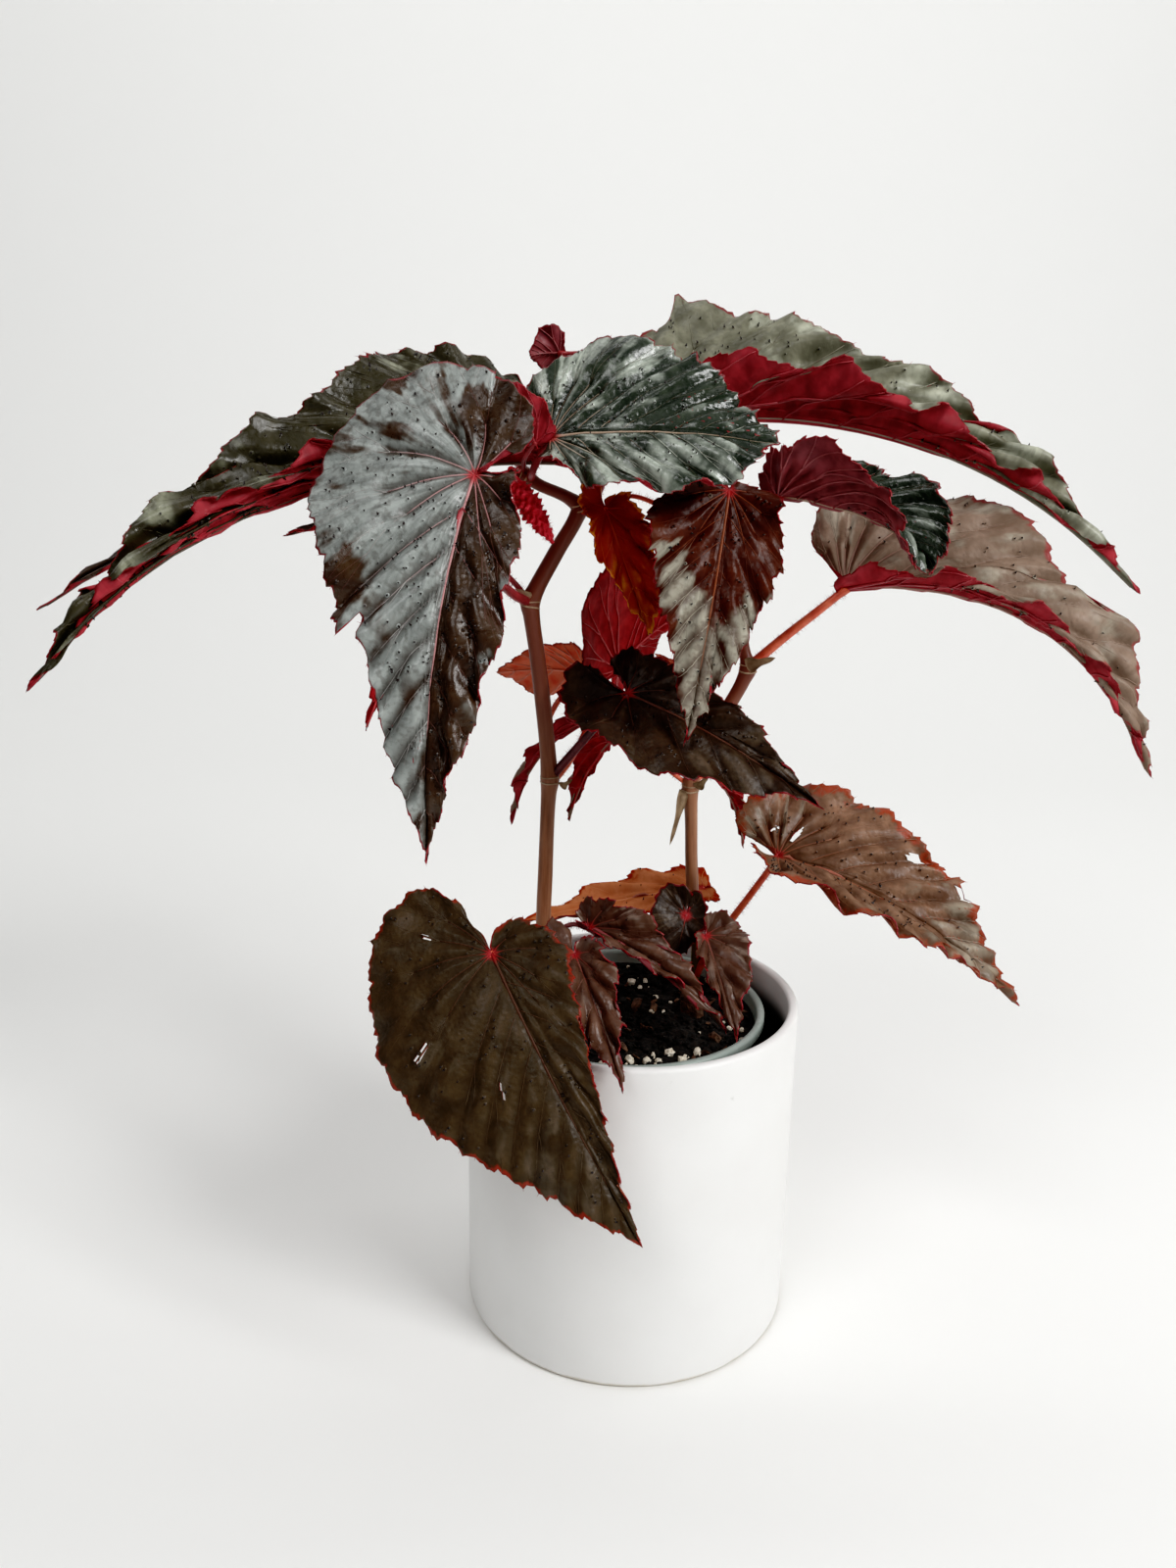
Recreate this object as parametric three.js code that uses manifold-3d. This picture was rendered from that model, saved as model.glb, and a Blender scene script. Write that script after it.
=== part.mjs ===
// A cane begonia with dark red leaves in a white cylinder pot.
// Millimetres, +Z up, origin on the floor under the middle of the pot, front of the plant towards -Y.
import * as THREE from "three";
import { mergeVertices } from "three/addons/utils/BufferGeometryUtils.js";
import Module from "manifold-3d";

const wasm = await Module();
wasm.setup();

// Driving dimensions.
const POT_RADIUS = 75;
const POT_HEIGHT = 150;
const POT_WALL = 4.4;
const POT_FLOOR = 7;
const LINER_CENTRE = [-3, 4];
const LINER_LIP_RADIUS = 64;
const LINER_FOOT_RADIUS = 50;
const LINER_TOP = 143;
const LINER_WALL = 1.4;
const SOIL_LEVEL = 138;
const BLADE_THICKNESS = 0.9;
const TOUCH_GAP = 0.3;
const ROUND_SIDES = 56;

// Colours of the photographed plant.
const CERAMIC_WHITE = 0xf1f0ee;
const LINER_GREEN = 0x9fb0a6;
const SOIL_BLACK = 0x15110f;
const STEM_BROWN = 0x4d2b2b;
const LEAF_DARK = 0x2b2422;
const LEAF_OLD = 0x6b3a24;
const LEAF_RED = 0x8c1a2c;
const LEAF_ORANGE = 0xa8541c;
const BUD_RED = 0xb3202c;

// Each stem is a row of x, y, z and radius from the soil up, thicker at the joints of the cane.
const STEMS = {
  stem_left: [
    [-43, 13, 124, 3.6],
    [-42, 12, 150, 3.5],
    [-41, 11, 195, 3.4],
    [-39.5, 10, 240, 3.5],
    [-39, 10, 247, 4.3],
    [-39.6, 10, 254, 3.7],
    [-43, 9, 287, 3.5],
    [-47.4, 8, 319, 3.6],
    [-48, 8, 325, 4.3],
    [-45.5, 7.8, 331, 3.7],
    [-37, 7, 347, 3.4],
    [-29.5, 6, 360, 3.3],
    [-28, 6, 365, 3.6],
    [-33, 5.5, 369, 2.7],
    [-45, 5, 374, 2.5],
    [-51, 5, 378, 3],
    [-54, 5, 380, 1.6],
  ],
  stem_right: [
    [31, 29, 124, 2.2],
    [31, 28, 140, 2.2],
    [31, 27, 165, 2.5],
    [28, 26, 190, 2.9],
    [25.5, 24, 232, 3.1],
    [25, 24, 241, 4],
    [26.5, 23.8, 249, 3.3],
    [37, 22, 272, 3.1],
    [46, 20.3, 291, 3.2],
    [48, 20, 297, 3.9],
    [46.5, 20.5, 303, 2.6],
    [42, 21.5, 325, 2.4],
    [36, 22, 352, 2.5],
    [34.5, 22.5, 358, 3.1],
    [33, 23, 362, 1.6],
  ],
};

// One half of a leaf: its width, how far its lobe reaches behind the stalk, where along the leaf it is
// widest, how full it is from there to the tip, its rise in degrees at the midrib and at the margin, how
// blunt its tip is, and how many degrees its margin swings round the joint at the notch.
const half = (width, lobe, peak, full, rise, curl, blunt = 0.18, swing = 0) => ({
  width, lobe, peak, full, rise, curl, blunt, swing,
});

// Each leaf: the joint with its stalk, its tip, the way its upper side looks, the height of its arch, its
// two halves, the size and number of its margin's waves, its stalk's route from the stem with the stalk's
// radius, and how many margin points and rings its solid has. Some also have how far the arch leans
// towards the tip, how far it bows to one side, how many degrees the leaf twists towards the tip and how
// late it does, and dents: the half, the share of its margin from the tip, the share over which the margin
// comes back to its line (towards the tip if it is less than 0), and the depth.
const LEAVES = [
  {
    name: "leaf_front_hanging",
    joint: [-65, -60, 377], tip: [-78, -98, 243], face: [-0.15, -1, 0.55], arch: 10, bow: -4,
    left: half(23, 12, 0.3, 0.5, 10, -10, 0.18, 62),
    right: half(60, 29, 0.14, -0.1, 5, -25, 0.18, -62),
    dents: [["right", 0.335, -0.17, 12]],
    wave: 2, waves: 5, stalk: [[-48, 8, 325], [-54, -3, 329], [-61, -25, 340], [-66, -44, 358]],
    girth: 1.9, points: 15, rings: 3, colour: LEAF_DARK,
  },
  {
    name: "leaf_long_left",
    joint: [-25, 32, 383], tip: [-233, -60, 294], face: [0, 0, 1], arch: 31, lean: 0.12, twist: 30,
    left: half(30, 3, 0.25, 0, 62, 50), right: half(62, -10, 0.3, -0.3, 48, 40, 0.08),
    wave: 3, waves: 6, stalk: [[-28, 6, 364], [-21, 14, 370], [-19, 25, 378]],
    girth: 1.9, points: 14, rings: 4, colour: LEAF_DARK,
  },
  {
    name: "leaf_long_right",
    joint: [16, 42, 402], tip: [211, 10, 333], face: [0, 0, 1], arch: 25, twist: -25,
    left: half(50, 48, 0.03, 0.12, 58, 50), right: half(30, 20, 0.2, 0.12, 45, 60),
    dents: [["left", 0.665, -0.07, -14]],
    wave: 3, waves: 6, stalk: [[34.5, 22.5, 358], [31, 27, 371], [23, 36, 391]],
    girth: 1.9, points: 14, rings: 4, colour: LEAF_DARK,
  },
  {
    name: "leaf_crown",
    joint: [-39, -16, 392], tip: [49, -28, 390], face: [0, -1, 0.9], arch: 5,
    left: half(44, 10, 0.3, 0.5, 12, -10, 0.35), right: half(24, 2, 0.5, 0.7, 0, -30, 0.6),
    wave: 2.5, waves: 4, stalk: [[-48, 5, 376], [-47, -3, 379], [-43, -11, 386]],
    girth: 1.5, points: 11, rings: 3, colour: LEAF_DARK,
  },
  {
    name: "leaf_right",
    joint: [88, 18, 333], tip: [217, -8, 258], face: [0, -0.25, 1], arch: 29,
    left: half(50, 34, 0.22, 0.12, 55, 20, 0.18, 50), right: half(14, 4, 0.3, 0.34, 35, 60),
    dents: [["left", 0.27, 0.06, 18], ["left", 0.268, -0.06, -9]],
    wave: 2.5, waves: 5, stalk: [[48, 20, 297], [62, 19, 310], [76, 18, 322]],
    girth: 2, points: 15, rings: 3, colour: LEAF_DARK,
  },
  {
    name: "leaf_right_folded",
    joint: [54, 0, 371], tip: [116, -14, 342], face: [0.2, -0.1, 1], arch: 8, lean: 0.2,
    twist: -110, late: 2.2,
    left: half(25, 6, 0.3, 0.8, 30, 10, 0.9), right: half(27, 8, 0.25, 0.5, 62, 40, 0.8),
    wave: 2, waves: 4, stalk: [[36, 22, 352], [44, 14, 362], [50, 6, 368]],
    girth: 1.3, points: 11, rings: 3, colour: LEAF_RED,
  },
  {
    name: "leaf_centre",
    joint: [32, -15, 373], tip: [17, -34, 274], face: [0.1, -1, 0.3], arch: 6,
    left: half(24, 4, 0.2, 0.34, 5, -10), right: half(29, 6, 0.2, 0.15, 5, -10),
    wave: 2.5, waves: 4, stalk: [[34.5, 22.5, 357], [33, 10, 363], [32, -4, 369]],
    girth: 1.6, points: 10, rings: 3, colour: LEAF_DARK,
  },
  {
    name: "leaf_orange_small",
    joint: [-17, -12, 365], tip: [2, -14, 315], face: [0, -1, 0.2], arch: 3,
    left: half(14, 4, 0.25, 0.8, 0, 0, 0.4), right: half(10, 14, 0.2, 0.2, 0, 0),
    wave: 2, waves: 4, stalk: [[38.5, 21.8, 342], [26, 12, 352], [6, 0, 366], [-8, -7, 370]],
    girth: 1, points: 8, rings: 2, colour: LEAF_ORANGE,
  },
  {
    name: "leaf_low_centre",
    joint: [-6, -8, 289], tip: [73, -40, 249], face: [-0.1, -0.8, 0.9], arch: 6,
    left: half(20, 18, 0.15, 0.34, 20, 0, 0.18, 30), right: half(30, 24, 0.25, 0.34, 0, 0, 0.18, -22),
    wave: 2, waves: 4, stalk: [[-39, 10, 247], [-30, 5, 259], [-17, -2, 276]],
    girth: 1.8, points: 10, rings: 3, colour: LEAF_DARK,
  },
  {
    name: "leaf_back_red",
    joint: [-9, 40, 293], tip: [30, 84, 318], face: [-0.3, 0.9, 0.5], arch: 4,
    left: half(20, 6, 0.2, 0.34, 10, 0), right: half(56, 32, 0.15, 0.34, 10, 0),
    wave: 2, waves: 4, stalk: [[26.5, 23.8, 249], [17, 32, 263], [4, 38, 280]],
    girth: 1.5, points: 9, rings: 2, colour: LEAF_RED,
  },
  {
    name: "leaf_back_left",
    joint: [-22, 40, 290], tip: [-67, 62, 286], face: [0, 1, 0.5], arch: 3,
    left: half(16, 4, 0.2, 0.34, -10, 0, 0.5), right: half(16, 4, 0.2, 0.6, -10, 0, 0.8),
    wave: 1.5, waves: 3, stalk: [[-41, 9.5, 272], [-36, 22, 280], [-29, 33, 286]],
    girth: 1.2, points: 8, rings: 2, colour: LEAF_RED,
  },
  {
    name: "leaf_back_small",
    joint: [31, 44, 282], tip: [8, 52, 298], face: [0, 1, 0.6], arch: 1,
    left: half(8, 2, 0.2, 0.34, 0, 0), right: half(8, 2, 0.2, 0.34, 0, 0),
    wave: 1, waves: 3, stalk: [[37, 22, 272], [36, 34, 276]],
    girth: 1, points: 8, rings: 2, colour: LEAF_RED,
  },
  {
    name: "leaf_back_drop_left",
    joint: [-22, 24, 272], tip: [-58, 40, 216], face: [-0.9, 0.2, 0.6], arch: 8,
    left: half(11, 2, 0.2, 0.3, 30, 20), right: half(11, 2, 0.2, 0.3, 30, 20),
    wave: 2, waves: 4, stalk: [[-39.2, 10, 243], [-30, 17, 254], [-25, 21, 264]],
    girth: 1.2, points: 8, rings: 2, colour: LEAF_RED,
  },
  {
    name: "leaf_back_drop_mid",
    joint: [-11, 28, 262], tip: [-31, 45, 217], face: [-0.5, 1, 0.3], arch: 5,
    left: half(10, 2, 0.2, 0.34, 40, 20), right: half(6, 2, 0.2, 0.34, 40, 20),
    wave: 2, waves: 4, stalk: [[25, 24, 241], [11, 25, 251], [-1, 27, 259]],
    girth: 1, points: 8, rings: 2, colour: LEAF_RED,
  },
  {
    name: "leaf_back_drop_right",
    joint: [37, 38, 243], tip: [54, 50, 204], face: [0.8, 0.6, 0.3], arch: 4,
    left: half(8, 2, 0.2, 0.34, 40, 20), right: half(8, 2, 0.2, 0.34, 40, 20),
    wave: 2, waves: 4, stalk: [[25, 24, 241], [30, 30, 244]],
    girth: 1, points: 8, rings: 2, colour: LEAF_RED,
  },
  {
    name: "leaf_old_right",
    joint: [63, 0, 216], tip: [162, -34, 162], face: [-0.1, -0.4, 1], arch: 12,
    left: half(39, 26, 0.2, 0.3, 25, 0, 0.18, 14), right: half(25, 9, 0.22, 0.4, 20, 10),
    wave: 2, waves: 5, stalk: [[31, 28, 146], [40, 20, 168], [52, 9, 193]],
    girth: 1.7, points: 12, rings: 3, colour: LEAF_OLD,
  },
  {
    name: "leaf_old_front",
    joint: [-59, -60, 192], tip: [2, -110, 95], face: [-0.2, -1, 0.55], arch: 10,
    left: half(28, 8, 0.12, -0.05, 8, -15), right: half(60, 41, 0.15, 0.34, 8, -25),
    wave: 1.5, waves: 5, stalk: [[-42, 12, 150], [-46, -2, 158], [-53, -28, 170], [-58, -46, 181]],
    girth: 1.9, points: 12, rings: 3, colour: LEAF_OLD,
  },
  {
    name: "leaf_old_back",
    joint: [36, 58, 180], tip: [-57, 35, 168], face: [0, -0.3, 1], arch: 2,
    left: half(18, 6, 0.2, 0.34, 10, 0), right: half(18, 6, 0.2, 0.34, 10, 0),
    wave: 2, waves: 4, stalk: [[31.2, 27.3, 158], [33, 42, 170]],
    girth: 1.5, points: 9, rings: 2, colour: LEAF_OLD,
  },
  {
    name: "leaf_base_front",
    joint: [-26, -45, 186], tip: [-6, -84, 145], face: [0.1, -1, 0.55], arch: 6,
    left: half(12, 6, 0.2, 0.34, 20, 0), right: half(14, 18, 0.2, 0.34, 20, 0),
    wave: 2, waves: 4, stalk: [[-42, 12, 158], [-38, -8, 168], [-31, -30, 179]],
    girth: 1.1, points: 9, rings: 2, colour: LEAF_OLD,
  },
  {
    name: "leaf_base_folded",
    joint: [-20, -20, 188], tip: [38, -45, 153], face: [0, -0.5, 0.9], arch: 7,
    left: half(16, 8, 0.2, 0.1, 45, 30), right: half(10, 4, 0.2, 0.1, 45, 30),
    wave: 2, waves: 4, stalk: [[-41.8, 12, 166], [-34, 2, 178], [-27, -10, 186]],
    girth: 1.1, points: 9, rings: 2, colour: LEAF_OLD,
  },
  {
    name: "leaf_base_round",
    joint: [23, -2, 188], tip: [18, -8, 168], face: [0, -1, 0.4], arch: 2,
    left: half(9, 12, 0.1, 0.4, 0, 0), right: half(16, 13, 0.1, 0.4, 0, 0),
    wave: 1, waves: 3, stalk: [[29, 26.5, 184], [27, 16, 187]],
    girth: 0.9, points: 8, rings: 2, colour: LEAF_DARK,
  },
  {
    name: "leaf_base_right",
    joint: [31, -14, 183], tip: [42, -51, 151], face: [0.1, -1, 0.3], arch: 4,
    left: half(16, 10, 0.2, 0.34, 10, 0), right: half(6, 4, 0.2, 0.34, 10, 0),
    wave: 1.5, waves: 4, stalk: [[30, 26.8, 174], [31, 12, 179]],
    girth: 1, points: 8, rings: 2, colour: LEAF_OLD,
  },
  {
    name: "leaf_crown_back",
    joint: [-38, 50, 430], tip: [-51, 45, 428], face: [0, 1, 0.4], arch: 2,
    left: half(10, 0, 0.2, 0.34, 10, 0), right: half(7, 4, 0.2, 0.34, 10, 0),
    wave: 1, waves: 3, stalk: [[-29, 4, 366], [-15, 5, 386], [-7, 18, 406], [-10, 32, 421], [-24, 44, 429]],
    girth: 1, points: 8, rings: 2, colour: LEAF_RED,
  },
  {
    name: "leaf_young_red",
    joint: [-45, -16, 390], tip: [-64, -26, 414], face: [0.6, 0.8, 0.3], arch: 2,
    left: half(9, 1, 0.3, 0.4, 35, 10), right: half(9, 1, 0.3, 0.4, 35, 10),
    wave: 1, waves: 4, stalk: [[-51, 5, 378], [-50, -6, 384]],
    girth: 0.9, points: 8, rings: 2, colour: LEAF_RED,
  },
  {
    name: "leaf_behind_front",
    joint: [-78, -22, 352], tip: [-115, -18, 273], face: [-0.6, 0.8, 0.3], arch: 5,
    left: half(16, 4, 0.2, 0.34, 20, 0), right: half(16, 4, 0.2, 0.34, 20, 0),
    wave: 1.5, waves: 4, stalk: [[-48, 8, 325], [-56, 10, 334], [-68, -4, 346]],
    girth: 1.2, points: 9, rings: 2, colour: LEAF_RED,
  },
  {
    name: "leaf_behind_left",
    joint: [-66, 64, 390], tip: [-246, -20, 320], face: [0, 0, 1], arch: 14,
    left: half(12, 4, 0.2, 0.34, 40, 30), right: half(20, 4, 0.2, 0.34, 40, 30),
    wave: 2, waves: 4, stalk: [[-48, 5, 375.5], [-50, 20, 379], [-58, 44, 384]],
    girth: 1.5, points: 10, rings: 3, colour: LEAF_RED,
  },
  {
    name: "leaf_behind_small",
    joint: [-84, -18, 366], tip: [-144, -24, 352], face: [0, 0, 1], arch: 1,
    left: half(11, 4, 0.2, 0.34, 30, 20), right: half(11, 4, 0.2, 0.34, 30, 20),
    wave: 1, waves: 4, stalk: [[-52, 5, 377], [-60, -2, 374], [-72, -12, 369]],
    girth: 1, points: 8, rings: 2, colour: LEAF_RED,
  },
];

// The leaf that is still folded into a crinkled red bud: x, y, z and radius from its stalk down.
const BUD = [
  [-54, 5, 379, 1],
  [-56, -3, 380, 1],
  [-55, -9, 377, 1.6],
  [-52, -10, 372, 3.4],
  [-48, -11, 366, 4.2],
  [-44, -11.5, 360, 3.4],
  [-40.5, -12, 355, 1.9],
  [-38, -12, 351, 0.5],
];

const point = (row) => new THREE.Vector3(row[0], row[1], row[2]);

// A closed solid from a geometry whose shared corners are merged.
function solidOf(geometry) {
  const bare = geometry.index ? geometry.toNonIndexed() : geometry.clone();
  bare.deleteAttribute("normal");
  bare.deleteAttribute("uv");
  const merged = mergeVertices(bare, 1e-3);
  return new wasm.Manifold(
    new wasm.Mesh({
      numProp: 3,
      vertProperties: merged.attributes.position.array,
      triVerts: new Uint32Array(merged.index.array),
    }),
  );
}

function geometryOf(solid) {
  const mesh = solid.getMesh();
  const geometry = new THREE.BufferGeometry();
  geometry.setAttribute("position", new THREE.BufferAttribute(new Float32Array(mesh.vertProperties), 3));
  geometry.setIndex(Array.from(mesh.triVerts));
  geometry.computeVertexNormals();
  return geometry;
}

function geometryFrom(points, triangles) {
  const geometry = new THREE.BufferGeometry();
  const flat = points.flatMap((p) => [p.x, p.y, p.z]);
  geometry.setAttribute("position", new THREE.BufferAttribute(new Float32Array(flat), 3));
  geometry.setIndex(triangles.flat());
  return geometry;
}

// A round solid of changing radius along a row of points, closed at both ends.
function taperedTube(rows, sides, grow = 0) {
  const centres = rows.map(point);
  const points = [];
  const triangles = [];
  let across = new THREE.Vector3(1, 0.2, 0);
  centres.forEach((centre, i) => {
    const before = centres[Math.max(i - 1, 0)];
    const after = centres[Math.min(i + 1, centres.length - 1)];
    const along = after.clone().sub(before).normalize();
    across = across.clone().addScaledVector(along, -across.dot(along)).normalize();
    const other = along.clone().cross(across);
    for (let k = 0; k < sides; k++) {
      const turn = (2 * Math.PI * k) / sides;
      const radius = rows[i][3] + grow;
      points.push(
        centre
          .clone()
          .addScaledVector(across, radius * Math.cos(turn))
          .addScaledVector(other, radius * Math.sin(turn)),
      );
    }
  });
  for (let i = 0; i + 1 < rows.length; i++) {
    for (let k = 0; k < sides; k++) {
      const a = i * sides + k;
      const b = i * sides + ((k + 1) % sides);
      triangles.push([a, b, b + sides], [a, b + sides, a + sides]);
    }
  }
  const last = (rows.length - 1) * sides;
  for (let k = 1; k + 1 < sides; k++) {
    triangles.push([0, k + 1, k], [last, last + k, last + k + 1]);
  }
  return geometryFrom(points, triangles);
}

const cubic = (a, b, c, d, t) =>
  (1 - t) ** 3 * a + 3 * t * (1 - t) ** 2 * b + 3 * t * t * (1 - t) * c + t ** 3 * d;

// The margin of one half in the flat leaf, from the tip to the notch at the stalk, in even steps.
// Each point is [along the midrib, out from the midrib].
function margin(side, length, steps) {
  const { width, lobe, peak, full, blunt } = side;
  const widest = peak * length;
  const shoulder = [widest + Math.max(full, 0) * (length - widest), width * (1 + Math.min(full, 0))];
  const turn = 0.34 * width;
  const open = 0.05 * width;
  const arcs = [
    [[length, 0], [length - 0.26 * (length - widest), blunt * width], shoulder, [widest, width]],
    [[widest, width], [widest - 0.55 * (widest + lobe), width],
      [-lobe, turn + 0.6 * (width - turn)], [-lobe, turn]],
    [[-lobe, turn], [-lobe, open], [-0.35 * lobe - 2, open], [-2.5, 0.7]],
  ];
  const path = [[length, 0]];
  for (const [a, b, c, d] of arcs) {
    for (let i = 1; i <= 40; i++) {
      path.push([0, 1].map((k) => cubic(a[k], b[k], c[k], d[k], i / 40)));
    }
  }
  const reach = [0];
  for (let i = 1; i < path.length; i++) {
    reach.push(reach[i - 1] + Math.hypot(path[i][0] - path[i - 1][0], path[i][1] - path[i - 1][1]));
  }
  const even = [];
  let j = 1;
  for (let i = 0; i <= steps; i++) {
    const want = (reach[reach.length - 1] * i) / steps;
    while (j + 1 < reach.length && reach[j] < want) j++;
    const share = (want - reach[j - 1]) / (reach[j] - reach[j - 1]);
    even.push([0, 1].map((k) => path[j - 1][k] + share * (path[j][k] - path[j - 1][k])));
  }
  return even;
}

// One half's margin with its dents, and with its swing round the joint.
function shapedMargin(leaf, key, length) {
  const swing = THREE.MathUtils.degToRad(leaf[key].swing);
  const dents = (leaf.dents ?? []).filter(([side]) => side === key);
  return margin(leaf[key], length, leaf.points).map(([along, out], i) => {
    let far = Math.hypot(along, out);
    for (const [, at, run, depth] of dents) {
      const past = (i / leaf.points - at) * Math.sign(run);
      const fade = Math.exp(-Math.max(past, 0) / Math.abs(run));
      far -= depth * fade * THREE.MathUtils.smoothstep(past, -0.012, 0.004);
    }
    const angle = Math.atan2(out, along);
    const swung = angle - swing * THREE.MathUtils.smoothstep(angle, Math.PI / 3, Math.PI);
    return [far * Math.cos(swung), far * Math.sin(swung)];
  });
}

// The arch of the midrib, from the stalk's joint to the tip, with the frame of the leaf at any place.
function midrib(leaf) {
  const joint = point(leaf.joint);
  const tip = point(leaf.tip);
  const chord = tip.clone().sub(joint).normalize();
  const up = point(leaf.face);
  up.addScaledVector(chord, -up.dot(chord)).normalize();
  const across = up.clone().cross(chord);
  const crest = joint.clone().lerp(tip, 0.5 + (leaf.lean ?? 0));
  crest.addScaledVector(up, 2 * leaf.arch).addScaledVector(across, 2 * (leaf.bow ?? 0));
  const curve = new THREE.QuadraticBezierCurve3(joint, crest, tip);
  const length = curve.getLength();
  const frameAt = (along) => {
    const share = Math.min(Math.max(along / length, 0), 1);
    const ahead = curve.getTangentAt(share);
    const centre = curve.getPointAt(share).addScaledVector(ahead, Math.min(along, 0));
    const normal = ahead.clone().cross(across).normalize();
    const level = normal.clone().cross(ahead);
    const turn = THREE.MathUtils.degToRad(leaf.twist ?? 0) * share ** (leaf.late ?? 1);
    return {
      centre,
      normal: normal.clone().multiplyScalar(Math.cos(turn)).addScaledVector(level, Math.sin(turn)),
      side: level.multiplyScalar(Math.cos(turn)).addScaledVector(normal, -Math.sin(turn)),
    };
  };
  return { length, frameAt };
}

// A point of the flat leaf, bent into its place: the halves rise from the midrib and the margin waves.
function bent(leaf, rib, along, out, share, ring) {
  const side = out >= 0 ? leaf.left : leaf.right;
  const sign = out >= 0 ? 1 : -1;
  const { centre, normal, side: across } = rib.frameAt(along);
  const start = THREE.MathUtils.degToRad(side.rise);
  const end = THREE.MathUtils.degToRad(side.curl);
  const bend = Math.abs(end - start) < 1e-4 ? 1e-4 / side.width : (end - start) / side.width;
  const far = Math.abs(out);
  const reach = (Math.sin(start + bend * far) - Math.sin(start)) / bend;
  const rise = (Math.cos(start) - Math.cos(start + bend * far)) / bend;
  const fade = Math.min(share / 0.15, 1);
  const wave = leaf.wave * ring * ring * fade * Math.sin(2 * Math.PI * leaf.waves * share + sign);
  return centre.addScaledVector(across, sign * reach).addScaledVector(normal, rise + wave);
}

// The blade: rays from the joint to a toothed margin, with the same triangles above and below.
function bladeGeometry(leaf) {
  const rib = midrib(leaf);
  const steps = leaf.points;
  const left = shapedMargin(leaf, "left", rib.length).reverse();
  const right = shapedMargin(leaf, "right", rib.length).slice(1);
  const flat = [...left, ...right.map(([s, t]) => [s, -t])];
  const count = flat.length;
  const mid = [point(leaf.joint)];
  for (let ring = 1; ring <= leaf.rings; ring++) {
    flat.forEach(([s, t], i) => {
      const share = Math.abs(i - steps) / steps;
      const sign = i <= steps ? 1 : -1;
      const fade = Math.min(share / 0.06, (1 - share) / 0.08, 1);
      const tooth = (i % 2 === steps % 2 ? 1 : -1) * 0.9 * fade;
      const size = (ring / leaf.rings) * (1 + tooth / Math.max(Math.hypot(s, t), 1));
      const out = Math.abs(t) < 1e-6 ? sign * 1e-6 : t * size;
      mid.push(bent(leaf, rib, s * size, out, share, ring / leaf.rings));
    });
  }
  const upper = [];
  const at = (ring, i) => 1 + (ring - 1) * count + i;
  for (let i = 0; i + 1 < count; i++) {
    upper.push([0, at(1, i + 1), at(1, i)]);
    for (let ring = 1; ring < leaf.rings; ring++) {
      upper.push([at(ring, i), at(ring, i + 1), at(ring + 1, i + 1)]);
      upper.push([at(ring, i), at(ring + 1, i + 1), at(ring + 1, i)]);
    }
  }
  const sheet = geometryFrom(mid, upper);
  sheet.computeVertexNormals();
  const normals = sheet.getAttribute("normal");
  const lift = (p, i, by) => p.clone().addScaledVector(new THREE.Vector3().fromBufferAttribute(normals, i), by);
  const points = [
    ...mid.map((p, i) => lift(p, i, BLADE_THICKNESS / 2)),
    ...mid.map((p, i) => lift(p, i, -BLADE_THICKNESS / 2)),
  ];
  const under = mid.length;
  const rim = [0];
  for (let ring = 1; ring <= leaf.rings; ring++) rim.push(at(ring, 0));
  for (let i = 1; i < count; i++) rim.push(at(leaf.rings, i));
  for (let ring = leaf.rings - 1; ring >= 1; ring--) rim.push(at(ring, count - 1));
  const walls = rim.flatMap((a, i) => {
    const b = rim[(i + 1) % rim.length];
    return [[a, b, under + b], [a, under + b, under + a]];
  });
  const lower = upper.map(([a, b, c]) => [under + a, under + c, under + b]);
  return geometryFrom(points, [...upper, ...lower, ...walls]);
}

// The stalk, from the middle of the stem to a small swelling at the joint.
function stalkGeometry(leaf) {
  const rib = midrib(leaf);
  const { centre, normal } = rib.frameAt(0.5);
  const route = [...leaf.stalk.map(point), point(leaf.joint).addScaledVector(normal, -0.6)];
  const curve = new THREE.CatmullRomCurve3(route, false, "centripetal");
  const steps = leaf.stalk.length + 2;
  const rows = [];
  for (let i = 0; i <= steps; i++) {
    const p = curve.getPoint(i / steps);
    const radius = leaf.girth * (i === steps ? 1.25 : 1.1 - (0.25 * i) / steps);
    rows.push([p.x, p.y, p.z, radius]);
  }
  const end = rows[rows.length - 1];
  rows.push([end[0] + normal.x * 1.6, end[1] + normal.y * 1.6, end[2] + normal.z * 1.6, leaf.girth * 0.7]);
  return taperedTube(rows, 6);
}

function material(colour, roughness) {
  return new THREE.MeshStandardMaterial({ color: colour, roughness, metalness: 0 });
}

function named(name, geometry, colour, roughness) {
  const mesh = new THREE.Mesh(geometry, material(colour, roughness));
  mesh.name = name;
  return mesh;
}

const turned = (profile, sides) =>
  new THREE.LatheGeometry(profile.map(([r, z]) => new THREE.Vector2(r, z)), sides).rotateX(Math.PI / 2);

// The straight white pot: a bevelled foot, a rounded rim and a flat inner floor.
function coverPot() {
  const inner = POT_RADIUS - POT_WALL;
  const profile = [
    [0, 0],
    [POT_RADIUS - 2, 0],
    [POT_RADIUS, 2],
    [POT_RADIUS, POT_HEIGHT - 1.6],
    [POT_RADIUS - 1.2, POT_HEIGHT],
    [inner + 1.2, POT_HEIGHT],
    [inner, POT_HEIGHT - 1.6],
    [inner, POT_FLOOR + 2],
    [inner - 2, POT_FLOOR],
    [0, POT_FLOOR],
  ];
  return named("cover_pot", turned(profile, ROUND_SIDES), CERAMIC_WHITE, 0.5);
}

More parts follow.
